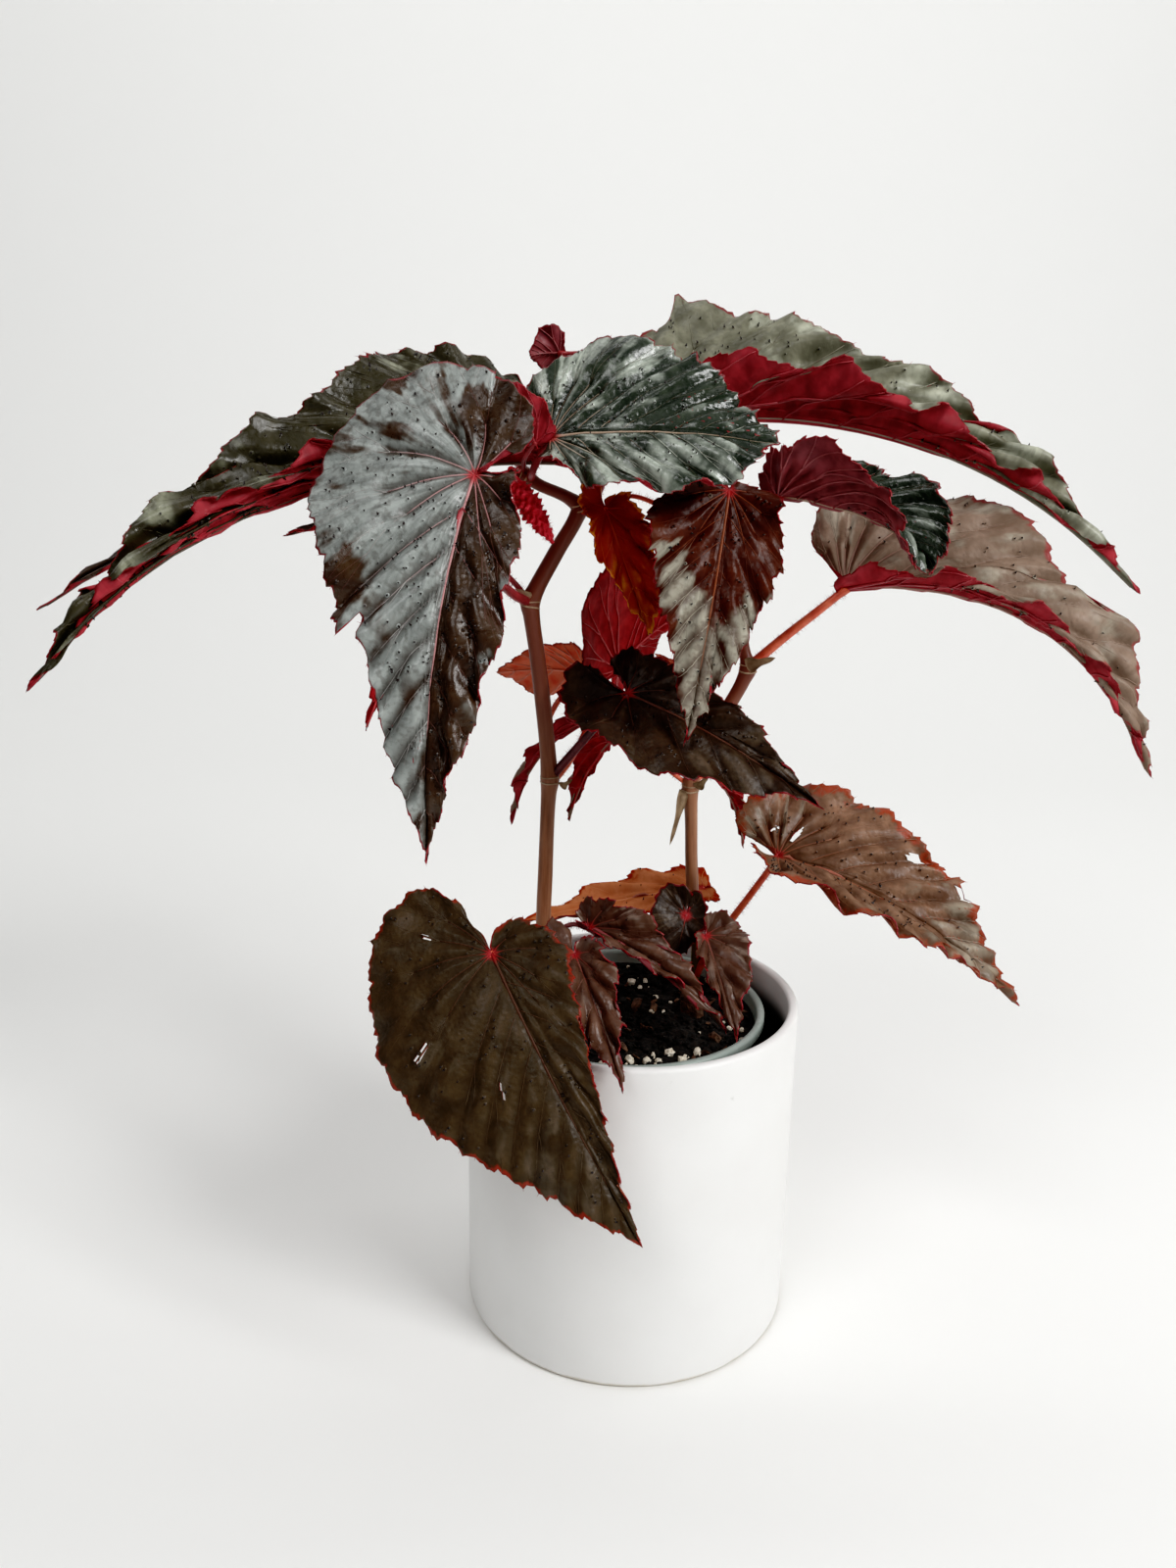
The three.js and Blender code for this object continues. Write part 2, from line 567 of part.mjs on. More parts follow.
// The thin growing pot inside it, with a lip that is rolled outwards.
function linerPot() {
  const low = POT_FLOOR + TOUCH_GAP;
  const profile = [
    [0, low],
    [LINER_FOOT_RADIUS, low],
    [LINER_LIP_RADIUS - 2.4, LINER_TOP - 5],
    [LINER_LIP_RADIUS, LINER_TOP - 4.4],
    [LINER_LIP_RADIUS, LINER_TOP - 0.8],
    [LINER_LIP_RADIUS - 1, LINER_TOP],
    [LINER_LIP_RADIUS - 3.2, LINER_TOP],
    [LINER_LIP_RADIUS - 2.4 - LINER_WALL, LINER_TOP - 1.6],
    [LINER_FOOT_RADIUS - LINER_WALL, low + LINER_WALL],
    [0, low + LINER_WALL],
  ];
  const geometry = turned(profile, 40).translate(LINER_CENTRE[0], LINER_CENTRE[1], 0);
  return named("liner_pot", geometry, LINER_GREEN, 0.35);
}

// The soil fills the liner to just under its lip, with a plain hole for each stem.
function soil() {
  const low = POT_FLOOR + 2 * TOUCH_GAP + LINER_WALL;
  const slope = (LINER_LIP_RADIUS - 2.4 - LINER_FOOT_RADIUS) / (LINER_TOP - 1.6 - POT_FLOOR - TOUCH_GAP - LINER_WALL);
  const edge = (z) => LINER_FOOT_RADIUS - LINER_WALL - TOUCH_GAP - 0.2 + slope * (z - POT_FLOOR - LINER_WALL);
  const profile = [
    [0, low],
    [edge(low), low],
    [edge(SOIL_LEVEL - 1), SOIL_LEVEL - 1],
    [edge(SOIL_LEVEL - 1) - 8, SOIL_LEVEL],
    [30, SOIL_LEVEL + 0.6],
    [0, SOIL_LEVEL],
  ];
  let body = solidOf(turned(profile, 40).translate(LINER_CENTRE[0], LINER_CENTRE[1], 0));
  for (const rows of Object.values(STEMS)) {
    const hole = rows.slice(0, 2).map(([x, y, z, r]) => [x, y, z, r]);
    hole[0][2] -= TOUCH_GAP;
    body = body.subtract(solidOf(taperedTube(hole, 10, TOUCH_GAP)));
  }
  return named("soil", geometryOf(body), SOIL_BLACK, 0.95);
}

function leafMesh(leaf) {
  const blade = solidOf(bladeGeometry(leaf));
  const whole = blade.add(solidOf(stalkGeometry(leaf)));
  const stems = Object.values(STEMS).map((rows) => solidOf(taperedTube(rows, 10, TOUCH_GAP)));
  const cut = stems.reduce((body, stem) => body.subtract(stem), whole);
  const [largest] = cut.decompose().sort((a, b) => b.volume() - a.volume());
  return named(leaf.name, geometryOf(largest), leaf.colour, 0.35);
}

// The bud's crinkles are a ring of small in-and-out steps.
function bud() {
  const rows = BUD.map(([x, y, z, r], i) => [x, y, z, i > 2 && i % 2 ? r * 0.85 : r]);
  const grown = solidOf(taperedTube(STEMS.stem_left, 10, TOUCH_GAP));
  return named("leaf_bud", geometryOf(solidOf(taperedTube(rows, 9)).subtract(grown)), BUD_RED, 0.6);
}

const plant = new THREE.Group();
plant.add(coverPot(), linerPot(), soil());
for (const [name, rows] of Object.entries(STEMS)) {
  plant.add(named(name, taperedTube(rows, 10), STEM_BROWN, 0.45));
}
for (const leaf of LEAVES) plant.add(leafMesh(leaf));
plant.add(bud());

export default plant;
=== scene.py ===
import math

import bpy
import numpy as np
from mathutils.kdtree import KDTree
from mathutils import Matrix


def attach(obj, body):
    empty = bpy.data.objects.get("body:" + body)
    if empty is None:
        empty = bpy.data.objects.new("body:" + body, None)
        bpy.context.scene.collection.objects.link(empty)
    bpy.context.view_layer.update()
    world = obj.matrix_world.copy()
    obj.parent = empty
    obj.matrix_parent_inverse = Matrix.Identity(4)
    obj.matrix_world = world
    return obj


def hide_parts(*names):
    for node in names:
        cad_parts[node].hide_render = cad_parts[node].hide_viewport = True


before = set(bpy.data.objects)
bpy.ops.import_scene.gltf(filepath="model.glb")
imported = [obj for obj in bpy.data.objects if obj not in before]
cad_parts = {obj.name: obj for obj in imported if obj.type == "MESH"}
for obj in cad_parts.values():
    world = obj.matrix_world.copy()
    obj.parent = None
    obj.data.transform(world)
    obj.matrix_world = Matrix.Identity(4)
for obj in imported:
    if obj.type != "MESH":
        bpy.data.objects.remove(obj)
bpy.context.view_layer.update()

MM = 0.001

# The pot, its liner and the soil.
POT_RADIUS = 75
POT_HEIGHT = 150
POT_WALL = 4.4
POT_FLOOR = 7
POT_FOOT_ROUND = 2.2
POT_RIM_ROUND = 1.9
LINER_CENTRE = (-3, 4)
LINER_LIP_RADIUS = 64
LINER_FOOT_RADIUS = 50
LINER_TOP = 143
LINER_LIP_WIDTH = 2.4
LINER_WALL = 1.4
SOIL_LEVEL = 138

# How finely the pot, the liner and the soil are turned.
POT_SIDES = 180
LINER_SIDES = 120
SOIL_SIDES = 96
SOIL_RINGS = 26

# The leaves. A leaf of full length has teeth, cushions and bristles of the sizes given here.
FULL_LENGTH = 95
BLADE_THICKNESS = 0.5
POINT_SPACING = 1.13
RING_SPACING = 2.85
TOOTH_LENGTH = 3.7
TOOTH_DEPTH = 1.5
LARGE_TOOTH_LENGTH = 12.5
LARGE_TOOTH_DEPTH = 2.1
TOOTH_STEEP_SHARE = 0.28
CUSHION_REACH = 4.2
CUSHION_HEIGHT = 1.8225
FINE_CUSHION_REACH = 1.3
FINE_CUSHION_HEIGHT = 0.135
RUFFLE_TURN = 0.42

# Bristles, and hairs with how many there are on a millimetre of stalk, stem or bud.
AREA_PER_BRISTLE = 44
BRISTLE_LENGTH = 1.25
BRISTLE_THICKNESS = 0.5
BRISTLE_TO_VEIN = 1.2
HAIR_THICKNESS = 0.07
MARGIN_HAIR_THICKNESS = 0.13
STALK_HAIR = 2.1
STALK_HAIR_COUNT = 7
STEM_HAIR = 0.9
STEM_HAIR_COUNT = 0.5
BUD_HAIR = 2.2
BUD_HAIR_COUNT = 26

# How many steps there are between two points of a row, and how many sides round it.
STALK_STEPS = 9
STALK_SIDES = 12
STEM_STEPS = 7
STEM_SIDES = 28
BUD_STEPS = 9
BUD_SIDES = 36
SCAR_STEPS = 24
SCAR_SIDES = 5

# Where the random draws start: each leaf and stem adds its own number to the first two.
LEAF_DRAW = 1000
STEM_DRAW = 2000
BUD_DRAW = 77
SOIL_DRAW = 55

# The camera, and where it looks: degrees down, and its roll.
CAMERA_PLACE = (-22.02, -497.77, 375.63)
CAMERA_DOWN = 14.435
CAMERA_ROLL = 1.077
CAMERA_LENS = 27

# Each stem is a row of x, y, z and radius from the soil up, thicker at the joints of the cane.
STEMS = {
    "stem_left": [
        (-43, 13, 124, 3.6), (-42, 12, 150, 3.5), (-41, 11, 195, 3.4), (-39.5, 10, 240, 3.5),
        (-39, 10, 247, 4.3), (-39.6, 10, 254, 3.7), (-43, 9, 287, 3.5), (-47.4, 8, 319, 3.6),
        (-48, 8, 325, 4.3), (-45.5, 7.8, 331, 3.7), (-37, 7, 347, 3.4), (-29.5, 6, 360, 3.3),
        (-28, 6, 365, 3.6), (-33, 5.5, 369, 2.7), (-45, 5, 374, 2.5), (-51, 5, 378, 3), (-54, 5, 380, 1.6),
    ],
    "stem_right": [
        (31, 29, 124, 2.2), (31, 28, 140, 2.2), (31, 27, 165, 2.5), (28, 26, 190, 2.9),
        (25.5, 24, 232, 3.1), (25, 24, 241, 4), (26.5, 23.8, 249, 3.3), (37, 22, 272, 3.1),
        (46, 20.3, 291, 3.2), (48, 20, 297, 3.9), (46.5, 20.5, 303, 2.6), (42, 21.5, 325, 2.4),
        (36, 22, 352, 2.5), (34.5, 22.5, 358, 3.1), (33, 23, 362, 1.6),
    ],
}

# The thickened joints of each cane, by their place in its row, and the two scars round each: how far
# from the joint and how thick.
CANE_JOINTS = {"stem_left": (4, 8, 12, 15), "stem_right": (5, 9, 13)}
SCARS = ((-1.6, 0.3), (0.9, 0.22))


# One half of a leaf: its width, how far its lobe reaches behind the stalk, where along the leaf it is
# widest, how full it is from there to the tip, its rise in degrees at the midrib and at the margin, how
# blunt its tip is, and how many degrees its margin at the notch swings away from the line of the midrib.
def half(width, lobe, peak, full, rise, curl, blunt=0.18, swing=0):
    shape = {"width": width, "lobe": lobe, "peak": peak, "full": full, "rise": rise, "curl": curl}
    return {**shape, "blunt": blunt, "swing": swing}


# What a leaf has where its own row says nothing else: how far its arch is bowed sideways, leans towards
# the tip and twists in degrees, how late the twist comes, the steps and scallops of its margin, its stalk's
# skin, how much silvery colour its two halves have, partly the leaf's own markings and partly a painted
# sheen that stands for the lamps' reflection, with rounded patches that have more or less of it, the height
# of its ruffles, the depth of its teeth, its torn slits, how many bristles it has, and how coarse its mesh
# is.
PLAIN_LEAF = dict(
    bow=0, lean=0, twist=0, late=1, dents=(), scallops=(), stalk_skin="red",
    markings_and_sheen=(0, 0), patches=(), ruffle=0.8, teeth=1, slits=(), bristles=0.5, grain=1,
)

# Each leaf: where its joint and its tip are, where it faces, how high it arches, its left half and, where
# that differs, its right one, the height and number of its waves, its stalk, its skins, and the height of
# the cushions between its veins. A dent is (half, share of the margin, run, depth), a scallop (half, start,
# end, number, depth), a patch (along, across, reach, amount) and a slit (along, across, half its length,
# half its width, turn in degrees). A patch of negative amount takes away the silvery colour and painted
# sheen, which paints shade where the leaf turns from the light.
LEAVES = [
    dict(
        name="leaf_front_hanging", joint=(-65, -60, 377), tip=(-78, -98, 243), face=(-0.15, -1, 0.55),
        arch=10, bow=-4,
        left=half(23, 12, 0.3, 0.5, 10, -10, 0.18, 62),
        right=half(60, 29, 0.14, -0.1, 5, -25, 0.18, -62), wave=2, waves=5,
        dents=[("right", 0.335, -0.17, 12)],
        stalk=[(-48, 8, 325), (-54, -3, 329), (-61, -25, 340), (-66, -44, 358)], girth=1.9,
        top="dark", under="crimson", markings_and_sheen=(0.0, 0.84), bulge=2.1, bristles=1.4,
        patches=[
            (46, -38, 13, -0.9), (-26, -5, 9, -0.9), (-20, 6, 10, -0.9), (-11, -55, 8, -0.6),
            (-33, -38, 7, -0.7), (-14, -30, 8, -0.2), (30, -20, 16, 0.25), (67, 20, 5, 0.55),
            (39, 23, 4, 0.6), (90, 11, 5, 0.45),
        ],
    ),
    dict(
        name="leaf_long_left", joint=(-25, 32, 383), tip=(-233, -60, 294), face=(0, 0, 1), arch=31,
        lean=0.12, twist=30,
        left=half(30, 3, 0.25, 0.0, 62, 50), right=half(62, -10, 0.3, -0.3, 48, 40, 0.08), wave=3,
        waves=6,
        stalk=[(-28, 6, 364), (-21, 14, 370), (-19, 25, 378)], girth=1.9,
        top="green", under="crimson", markings_and_sheen=(0.1, 0.16), bulge=1.5, ruffle=2.2, bristles=1.8,
    ),
    dict(
        name="leaf_long_right", joint=(16, 42, 402), tip=(211, 10, 333), face=(0, 0, 1), arch=25,
        twist=-25,
        left=half(50, 48, 0.03, 0.12, 58, 50), right=half(30, 20, 0.2, 0.12, 45, 60), wave=3, waves=6,
        dents=[("left", 0.665, -0.07, -18)], scallops=[("right", 0.5, 0.9, 3, 0.12)],
        stalk=[(34.5, 22.5, 358), (31, 27, 371), (23, 36, 391)], girth=1.9,
        top="grey_green", under="crimson", markings_and_sheen=(0.4, 0.4), bulge=1.5, ruffle=2.2, bristles=1.6,
        patches=[(0, 45, 34, -0.6)],
    ),
    dict(
        name="leaf_crown", joint=(-39, -16, 392), tip=(49, -28, 390), face=(0, -1, 0.9), arch=5,
        left=half(44, 10, 0.3, 0.5, 12, -10, 0.35), right=half(24, 2, 0.5, 0.7, 0, -30, 0.6), wave=2.5,
        waves=4,
        stalk=[(-48, 5, 376), (-47, -3, 379), (-43, -11, 386)], girth=1.5,
        top="wet", under="crimson", markings_and_sheen=(0.4, 0.5), bulge=2.2, teeth=1.2, bristles=1,
        patches=[(60, 20, 14, -0.35), (16, 30, 12, 0.2), (42, -16, 12, 0.1)],
    ),
    dict(
        name="leaf_right", joint=(88, 18, 333), tip=(217, -8, 258), face=(0, -0.25, 1), arch=29,
        left=half(50, 34, 0.22, 0.12, 55, 20, 0.18, 50), right=half(14, 4, 0.3, 0.34, 35, 60), wave=2.5,
        waves=5,
        dents=[("left", 0.27, 0.06, 18), ("left", 0.268, -0.06, -9)],
        stalk=[(48, 20, 297), (62, 19, 310), (76, 18, 322)], girth=2, stalk_skin="bright",
        top="brown", under="crimson", markings_and_sheen=(0.35, 0.3), bulge=1.4, ruffle=1.2, bristles=0.6,
    ),
    dict(
        name="leaf_right_folded", joint=(54, 0, 371), tip=(116, -14, 342), face=(0.2, -0.1, 1), arch=8,
        lean=0.2, twist=-110, late=2.2,
        left=half(25, 6, 0.3, 0.8, 30, 10, 0.9), right=half(27, 8, 0.25, 0.5, 62, 40, 0.8), wave=2,
        waves=4,
        stalk=[(36, 22, 352), (44, 14, 362), (50, 6, 368)], girth=1.3,
        top="wet", under="maroon", markings_and_sheen=(0.1, 0.1), bulge=2.6, teeth=1.7, bristles=0.6,
        patches=[(52, 14, 9, 0.35), (60, -6, 10, 0.3)],
    ),
    dict(
        name="leaf_centre", joint=(32, -15, 373), tip=(17, -34, 274), face=(0.1, -1, 0.3), arch=6,
        left=half(24, 4, 0.2, 0.34, 5, -10), right=half(29, 6, 0.2, 0.15, 5, -10), wave=2.5, waves=4,
        stalk=[(34.5, 22.5, 357), (33, 10, 363), (32, -4, 369)], girth=1.6,
        top="reddish", under="crimson", markings_and_sheen=(0.0, 0.05), bulge=1.2, teeth=1.3, bristles=1,
        patches=[
            (33, -22, 8, 0.7), (47, -10, 10, 0.7), (66, 0, 15, 0.8), (48, 16, 9, 0.8), (86, 0, 18, 0.8),
        ],
    ),
    dict(
        name="leaf_orange_small", joint=(-17, -12, 365), tip=(2, -14, 315), face=(0, -1, 0.2), arch=3,
        left=half(14, 4, 0.25, 0.8, 0, 0, 0.4), right=half(10, 14, 0.2, 0.2, 0, 0), wave=2, waves=4,
        stalk=[(38.5, 21.8, 342), (26, 12, 352), (6, 0, 366), (-8, -7, 370)], girth=1,
        stalk_skin="bright",
        top="orange", under="orange", bulge=1.4, teeth=1.9, bristles=0,
        patches=[(50, 0, 26, 0.8)],
    ),
    dict(
        name="leaf_low_centre", joint=(-6, -8, 289), tip=(73, -40, 249), face=(-0.1, -0.8, 0.9), arch=6,
        left=half(20, 18, 0.15, 0.34, 20, 0, 0.18, 30), right=half(30, 24, 0.25, 0.34, 0, 0, 0.18, -22),
        wave=2, waves=4,
        stalk=[(-39, 10, 247), (-30, 5, 259), (-17, -2, 276)], girth=1.8, stalk_skin="purple",
        top="black", under="maroon", markings_and_sheen=(0.1, 0.1), bulge=1.4, teeth=1.2, bristles=1,
        patches=[(64, 0, 24, 0.4)],
    ),
    dict(
        name="leaf_back_red", joint=(-9, 40, 293), tip=(30, 84, 318), face=(-0.3, 0.9, 0.5), arch=4,
        left=half(20, 6, 0.2, 0.34, 10, 0), right=half(56, 32, 0.15, 0.34, 10, 0), wave=2, waves=4,
        stalk=[(26.5, 23.8, 249), (17, 32, 263), (4, 38, 280)], girth=1.5, stalk_skin="bright",
        top="brown", under="glowing", markings_and_sheen=(0.2, 0.2), bulge=1,
    ),
    dict(
        name="leaf_back_left", joint=(-22, 40, 290), tip=(-67, 62, 286), face=(0, 1, 0.5), arch=3,
        left=half(16, 4, 0.2, 0.34, -10, 0, 0.5), right=half(16, 4, 0.2, 0.6, -10, 0, 0.8), wave=1.5,
        waves=3,
        stalk=[(-41, 9.5, 272), (-36, 22, 280), (-29, 33, 286)], girth=1.2, stalk_skin="bright",
        top="brown", under="ember", markings_and_sheen=(0.2, 0.2), bulge=0.8,
    ),
    dict(
        name="leaf_back_small", joint=(31, 44, 282), tip=(8, 52, 298), face=(0, 1, 0.6), arch=1,
        left=half(8, 2, 0.2, 0.34, 0, 0), wave=1, waves=3,
        stalk=[(37, 22, 272), (36, 34, 276)], girth=1, stalk_skin="bright",
        top="brown", under="ember", bulge=0.5, bristles=0,
    ),
    dict(
        name="leaf_back_drop_left", joint=(-22, 24, 272), tip=(-58, 40, 216), face=(-0.9, 0.2, 0.6),
        arch=8,
        left=half(11, 2, 0.2, 0.3, 30, 20), wave=2, waves=4,
        stalk=[(-39.2, 10, 243), (-30, 17, 254), (-25, 21, 264)], girth=1.2, stalk_skin="bright",
        top="brown", under="crimson", bulge=0.8,
    ),
    dict(
        name="leaf_back_drop_mid", joint=(-11, 28, 262), tip=(-31, 45, 217), face=(-0.5, 1, 0.3), arch=5,
        left=half(10, 2, 0.2, 0.34, 40, 20), right=half(6, 2, 0.2, 0.34, 40, 20), wave=2, waves=4,
        stalk=[(25, 24, 241), (11, 25, 251), (-1, 27, 259)], girth=1, stalk_skin="bright",
        top="brown", under="glowing", bulge=0.8, bristles=0,
    ),
    dict(
        name="leaf_back_drop_right", joint=(37, 38, 243), tip=(54, 50, 204), face=(0.8, 0.6, 0.3),
        arch=4,
        left=half(8, 2, 0.2, 0.34, 40, 20), wave=2, waves=4,
        stalk=[(25, 24, 241), (30, 30, 244)], girth=1, stalk_skin="bright",
        top="brown", under="glowing", bulge=0.8, bristles=0,
    ),
    dict(
        name="leaf_old_right", joint=(63, 0, 216), tip=(162, -34, 162), face=(-0.1, -0.4, 1), arch=12,
        left=half(39, 26, 0.2, 0.3, 25, 0, 0.18, 14), right=half(25, 9, 0.22, 0.4, 20, 10), wave=2,
        waves=5,
        stalk=[(31, 28, 146), (40, 20, 168), (52, 9, 193)], girth=1.7, stalk_skin="bright",
        top="rusty", under="rust", markings_and_sheen=(0.05, 0.0), bulge=2.4, ruffle=1.5, teeth=1.2, bristles=1,
        patches=[(95, 0, 26, 0.9), (-6, 12, 14, 0.45)],
        slits=[(4, 12, 4, 0.9, 70), (-6, 13, 3, 0.7, 60), (53, 26, 5, 1.6, 10), (76, 20, 4, 1.6, -10)],
    ),
    dict(
        name="leaf_old_front", joint=(-59, -60, 192), tip=(2, -110, 95), face=(-0.2, -1, 0.55), arch=10,
        left=half(28, 8, 0.12, -0.05, 8, -15), right=half(60, 41, 0.15, 0.34, 8, -25), wave=1.5, waves=5,
        stalk=[(-42, 12, 150), (-46, -2, 158), (-53, -28, 170), (-58, -46, 181)], girth=1.9,
        stalk_skin="bright",
        top="olive", under="rust", markings_and_sheen=(0.0, 0.08), bulge=0.85, bristles=0.7,
        patches=[(28, -40, 12, 0.3), (50, -33, 12, 0.3), (80, -6, 24, 0.4)],
        slits=[(22, -42, 4.5, 1.2, -60), (50, -19, 2.2, 0.7, 0), (-20, -22, 2.5, 0.7, 40)],
    ),
    dict(
        name="leaf_old_back", joint=(36, 58, 180), tip=(-57, 35, 168), face=(0, -0.3, 1), arch=2,
        left=half(18, 6, 0.2, 0.34, 10, 0), wave=2, waves=4,
        stalk=[(31.2, 27.3, 158), (33, 42, 170)], girth=1.5, stalk_skin="bright",
        top="ochre", under="rust", bulge=0.4, ruffle=0.4, teeth=1.2, bristles=0.3,
    ),
    dict(
        name="leaf_base_front", joint=(-26, -45, 186), tip=(-6, -84, 145), face=(0.1, -1, 0.55), arch=6,
        left=half(12, 6, 0.2, 0.34, 20, 0), right=half(14, 18, 0.2, 0.34, 20, 0), wave=2, waves=4,
        stalk=[(-42, 12, 158), (-38, -8, 168), (-31, -30, 179)], girth=1.1,
        top="cocoa", under="maroon", markings_and_sheen=(0.2, 0.2), bulge=1.9, teeth=1.6,
    ),
    dict(
        name="leaf_base_folded", joint=(-20, -20, 188), tip=(38, -45, 153), face=(0, -0.5, 0.9), arch=7,
        left=half(16, 8, 0.2, 0.1, 45, 30), right=half(10, 4, 0.2, 0.1, 45, 30), wave=2, waves=4,
        stalk=[(-41.8, 12, 166), (-34, 2, 178), (-27, -10, 186)], girth=1.1,
        top="cocoa", under="maroon", markings_and_sheen=(0.2, 0.2), bulge=1.9, teeth=1.6,
    ),
    dict(
        name="leaf_base_round", joint=(23, -2, 188), tip=(18, -8, 168), face=(0, -1, 0.4), arch=2,
        left=half(9, 12, 0.1, 0.4, 0, 0), right=half(16, 13, 0.1, 0.4, 0, 0), wave=1, waves=3,
        stalk=[(29, 26.5, 184), (27, 16, 187)], girth=0.9,
        top="black", under="maroon", markings_and_sheen=(0.2, 0.2), bulge=2, teeth=1.5, bristles=0.8,
    ),
    dict(
        name="leaf_base_right", joint=(31, -14, 183), tip=(42, -51, 151), face=(0.1, -1, 0.3), arch=4,
        left=half(16, 10, 0.2, 0.34, 10, 0), right=half(6, 4, 0.2, 0.34, 10, 0), wave=1.5, waves=4,
        stalk=[(30, 26.8, 174), (31, 12, 179)], girth=1,
        top="cocoa", under="maroon", markings_and_sheen=(0.25, 0.25), bulge=1.9, teeth=1.5,
    ),
    dict(
        name="leaf_crown_back", joint=(-38, 50, 430), tip=(-51, 45, 428), face=(0, 1, 0.4), arch=2,
        left=half(12, 2, 0.25, 0.5, 10, 0), right=half(9, 4, 0.2, 0.4, 10, 0), wave=1, waves=3,
        stalk=[(-29, 4, 366), (-15, 5, 386), (-7, 18, 406), (-10, 32, 421), (-24, 44, 429)], girth=1,
        top="black", under="maroon", bulge=0.6, bristles=0,
    ),
    dict(
        name="leaf_young_red", joint=(-45, -16, 390), tip=(-64, -26, 414), face=(0.6, 0.8, 0.3), arch=2,
        left=half(11, 2, 0.3, 0.5, 30, 10), wave=1, waves=4,
        stalk=[(-51, 5, 378), (-50, -6, 384)], girth=0.9,
        top="crimson", under="crimson", bulge=0.8, bristles=0,
    ),
    dict(
        name="leaf_behind_front", joint=(-78, -22, 352), tip=(-115, -18, 273), face=(-0.6, 0.8, 0.3),
        arch=5,
        left=half(16, 4, 0.2, 0.34, 20, 0), wave=1.5, waves=4,
        stalk=[(-48, 8, 325), (-56, 10, 334), (-68, -4, 346)], girth=1.2,
        top="dark", under="glowing", bulge=0.8,
    ),
    dict(
        name="leaf_behind_left", joint=(-66, 64, 390), tip=(-246, -20, 320), face=(0, 0, 1), arch=14,
        left=half(12, 4, 0.2, 0.34, 40, 30), right=half(20, 4, 0.2, 0.34, 40, 30), wave=2, waves=4,
        stalk=[(-48, 5, 375.5), (-50, 20, 379), (-58, 44, 384)], girth=1.5,
        top="dark", under="crimson", bulge=0.8, grain=1.8,
    ),
    dict(
        name="leaf_behind_small", joint=(-84, -18, 366), tip=(-144, -24, 352), face=(0, 0, 1), arch=1,
        left=half(11, 4, 0.2, 0.34, 30, 20), wave=1, waves=4,
        stalk=[(-52, 5, 377), (-60, -2, 374), (-72, -12, 369)], girth=1,
        top="dark", under="glowing", bulge=0.6, bristles=0,
    ),
]

# The folded red leaf bud: x, y, z and radius from its stalk down.
BUD = [
    (-54, 5, 379, 1), (-56, -3, 380, 1), (-55, -9, 377, 1.6), (-52, -10, 372, 3.4),
    (-48, -11, 366, 4.2), (-44, -11.5, 360, 3.4), (-40.5, -12, 355, 1.9), (-38, -12, 351, 0.5),
]


def unit(v):
    return v / np.maximum(np.linalg.norm(v, axis=-1, keepdims=True), 1e-9)


def between(where, marks, rows):
    """The rows read off at places between their marks."""
    return np.column_stack([np.interp(where, marks, column) for column in rows.T])


def around(turn, across, other):
    return np.cos(turn) * across + np.sin(turn) * other


def sides_of(way, hint):
    """Two directions at right angles to the way and to each other."""
    across = unit(np.cross(way, hint))
    return across, np.cross(way, across)


def put_in_scene(name, data):
    thing = bpy.data.objects.new(name, data)
    bpy.context.scene.collection.objects.link(thing)
    return thing


def step(value, low, high):
    share = np.clip((value - low) / (high - low), 0, 1)
    return share * share * (3 - 2 * share)


class Pile:
    """Points, faces and what the shaders read, gathered for one mesh."""

    def __init__(self):
        self.points = []
        self.faces = []
        self.skins = []
        self.flat = []
        self.facts = []
        self.places = []
        self.count = 0

    def add(self, points, faces, skin, facts=None, places=None, flat=False):
        points = np.asarray(points, float).reshape(-1, 3)
        nothing = np.zeros_like(points)
        self.points.append(points)
        self.facts.append(nothing if facts is None else facts)
        self.places.append(points if places is None else places)
        start = self.count
        self.count += len(points)
        self.cover(start, faces, skin, flat)
        return start

    def cover(self, start, faces, skin, flat=False):
        """Adds faces over the points from number start on."""
        self.faces += [tuple(int(v) + start for v in face) for face in faces]
        self.skins += [skin] * len(faces)
        self.flat += [flat] * len(faces)

    def piece(self, name):
        """Makes the object: facts go to the attribute leaf, and places, in mm, to the attribute flat."""
        mesh = bpy.data.meshes.new(name)
        mesh.from_pydata((np.concatenate(self.points) * MM).tolist(), [], self.faces)
        names = sorted(set(self.skins))
        for skin in names:
            mesh.materials.append(MATERIALS[skin])
        order = {skin: i for i, skin in enumerate(names)}
        mesh.polygons.foreach_set("material_index", [order[skin] for skin in self.skins])
        mesh.polygons.foreach_set("use_smooth", [not flat for flat in self.flat])
        for title, rows in (("leaf", self.facts), ("flat", self.places)):
            values = mesh.attributes.new(title, "FLOAT_VECTOR", "POINT")
            values.data.foreach_set("vector", np.concatenate(rows).astype(np.float32).ravel())
        mesh.update()
        return put_in_scene(name, mesh)


def dress(pile, node):
    """Makes the piece that rides on the plant's one body and takes the place of a node."""
    piece = pile.piece(node + "_fine")
    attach(piece, "root")
    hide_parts(node)


def smooth_route(points, per):
    """A smooth line through the points, with per steps between two of them."""
    p = np.asarray(points, float)
    p = np.vstack([2 * p[0] - p[1], p, 2 * p[-1] - p[-2]])
    t = np.linspace(0, 1, per, endpoint=False)[:, None]
    rows = []
    for a, b, c, d in zip(p, p[1:], p[2:], p[3:]):
        spans = ((a, b), (b, c), (c, d))
        before, here, after = (max(np.linalg.norm(q[:3] - r[:3]) ** 0.5, 1e-4) for q, r in spans)
        start = ((b - a) / before - (c - a) / (before + here) + (c - b) / here) * here
        end = ((c - b) / here - (d - b) / (here + after) + (d - c) / after) * here
        rows.append(
            (2 * t**3 - 3 * t**2 + 1) * b + (t**3 - 2 * t**2 + t) * start
            + (3 * t**2 - 2 * t**3) * c + (t**3 - t**2) * end
        )
    return np.vstack(rows + [p[-2:-1]])


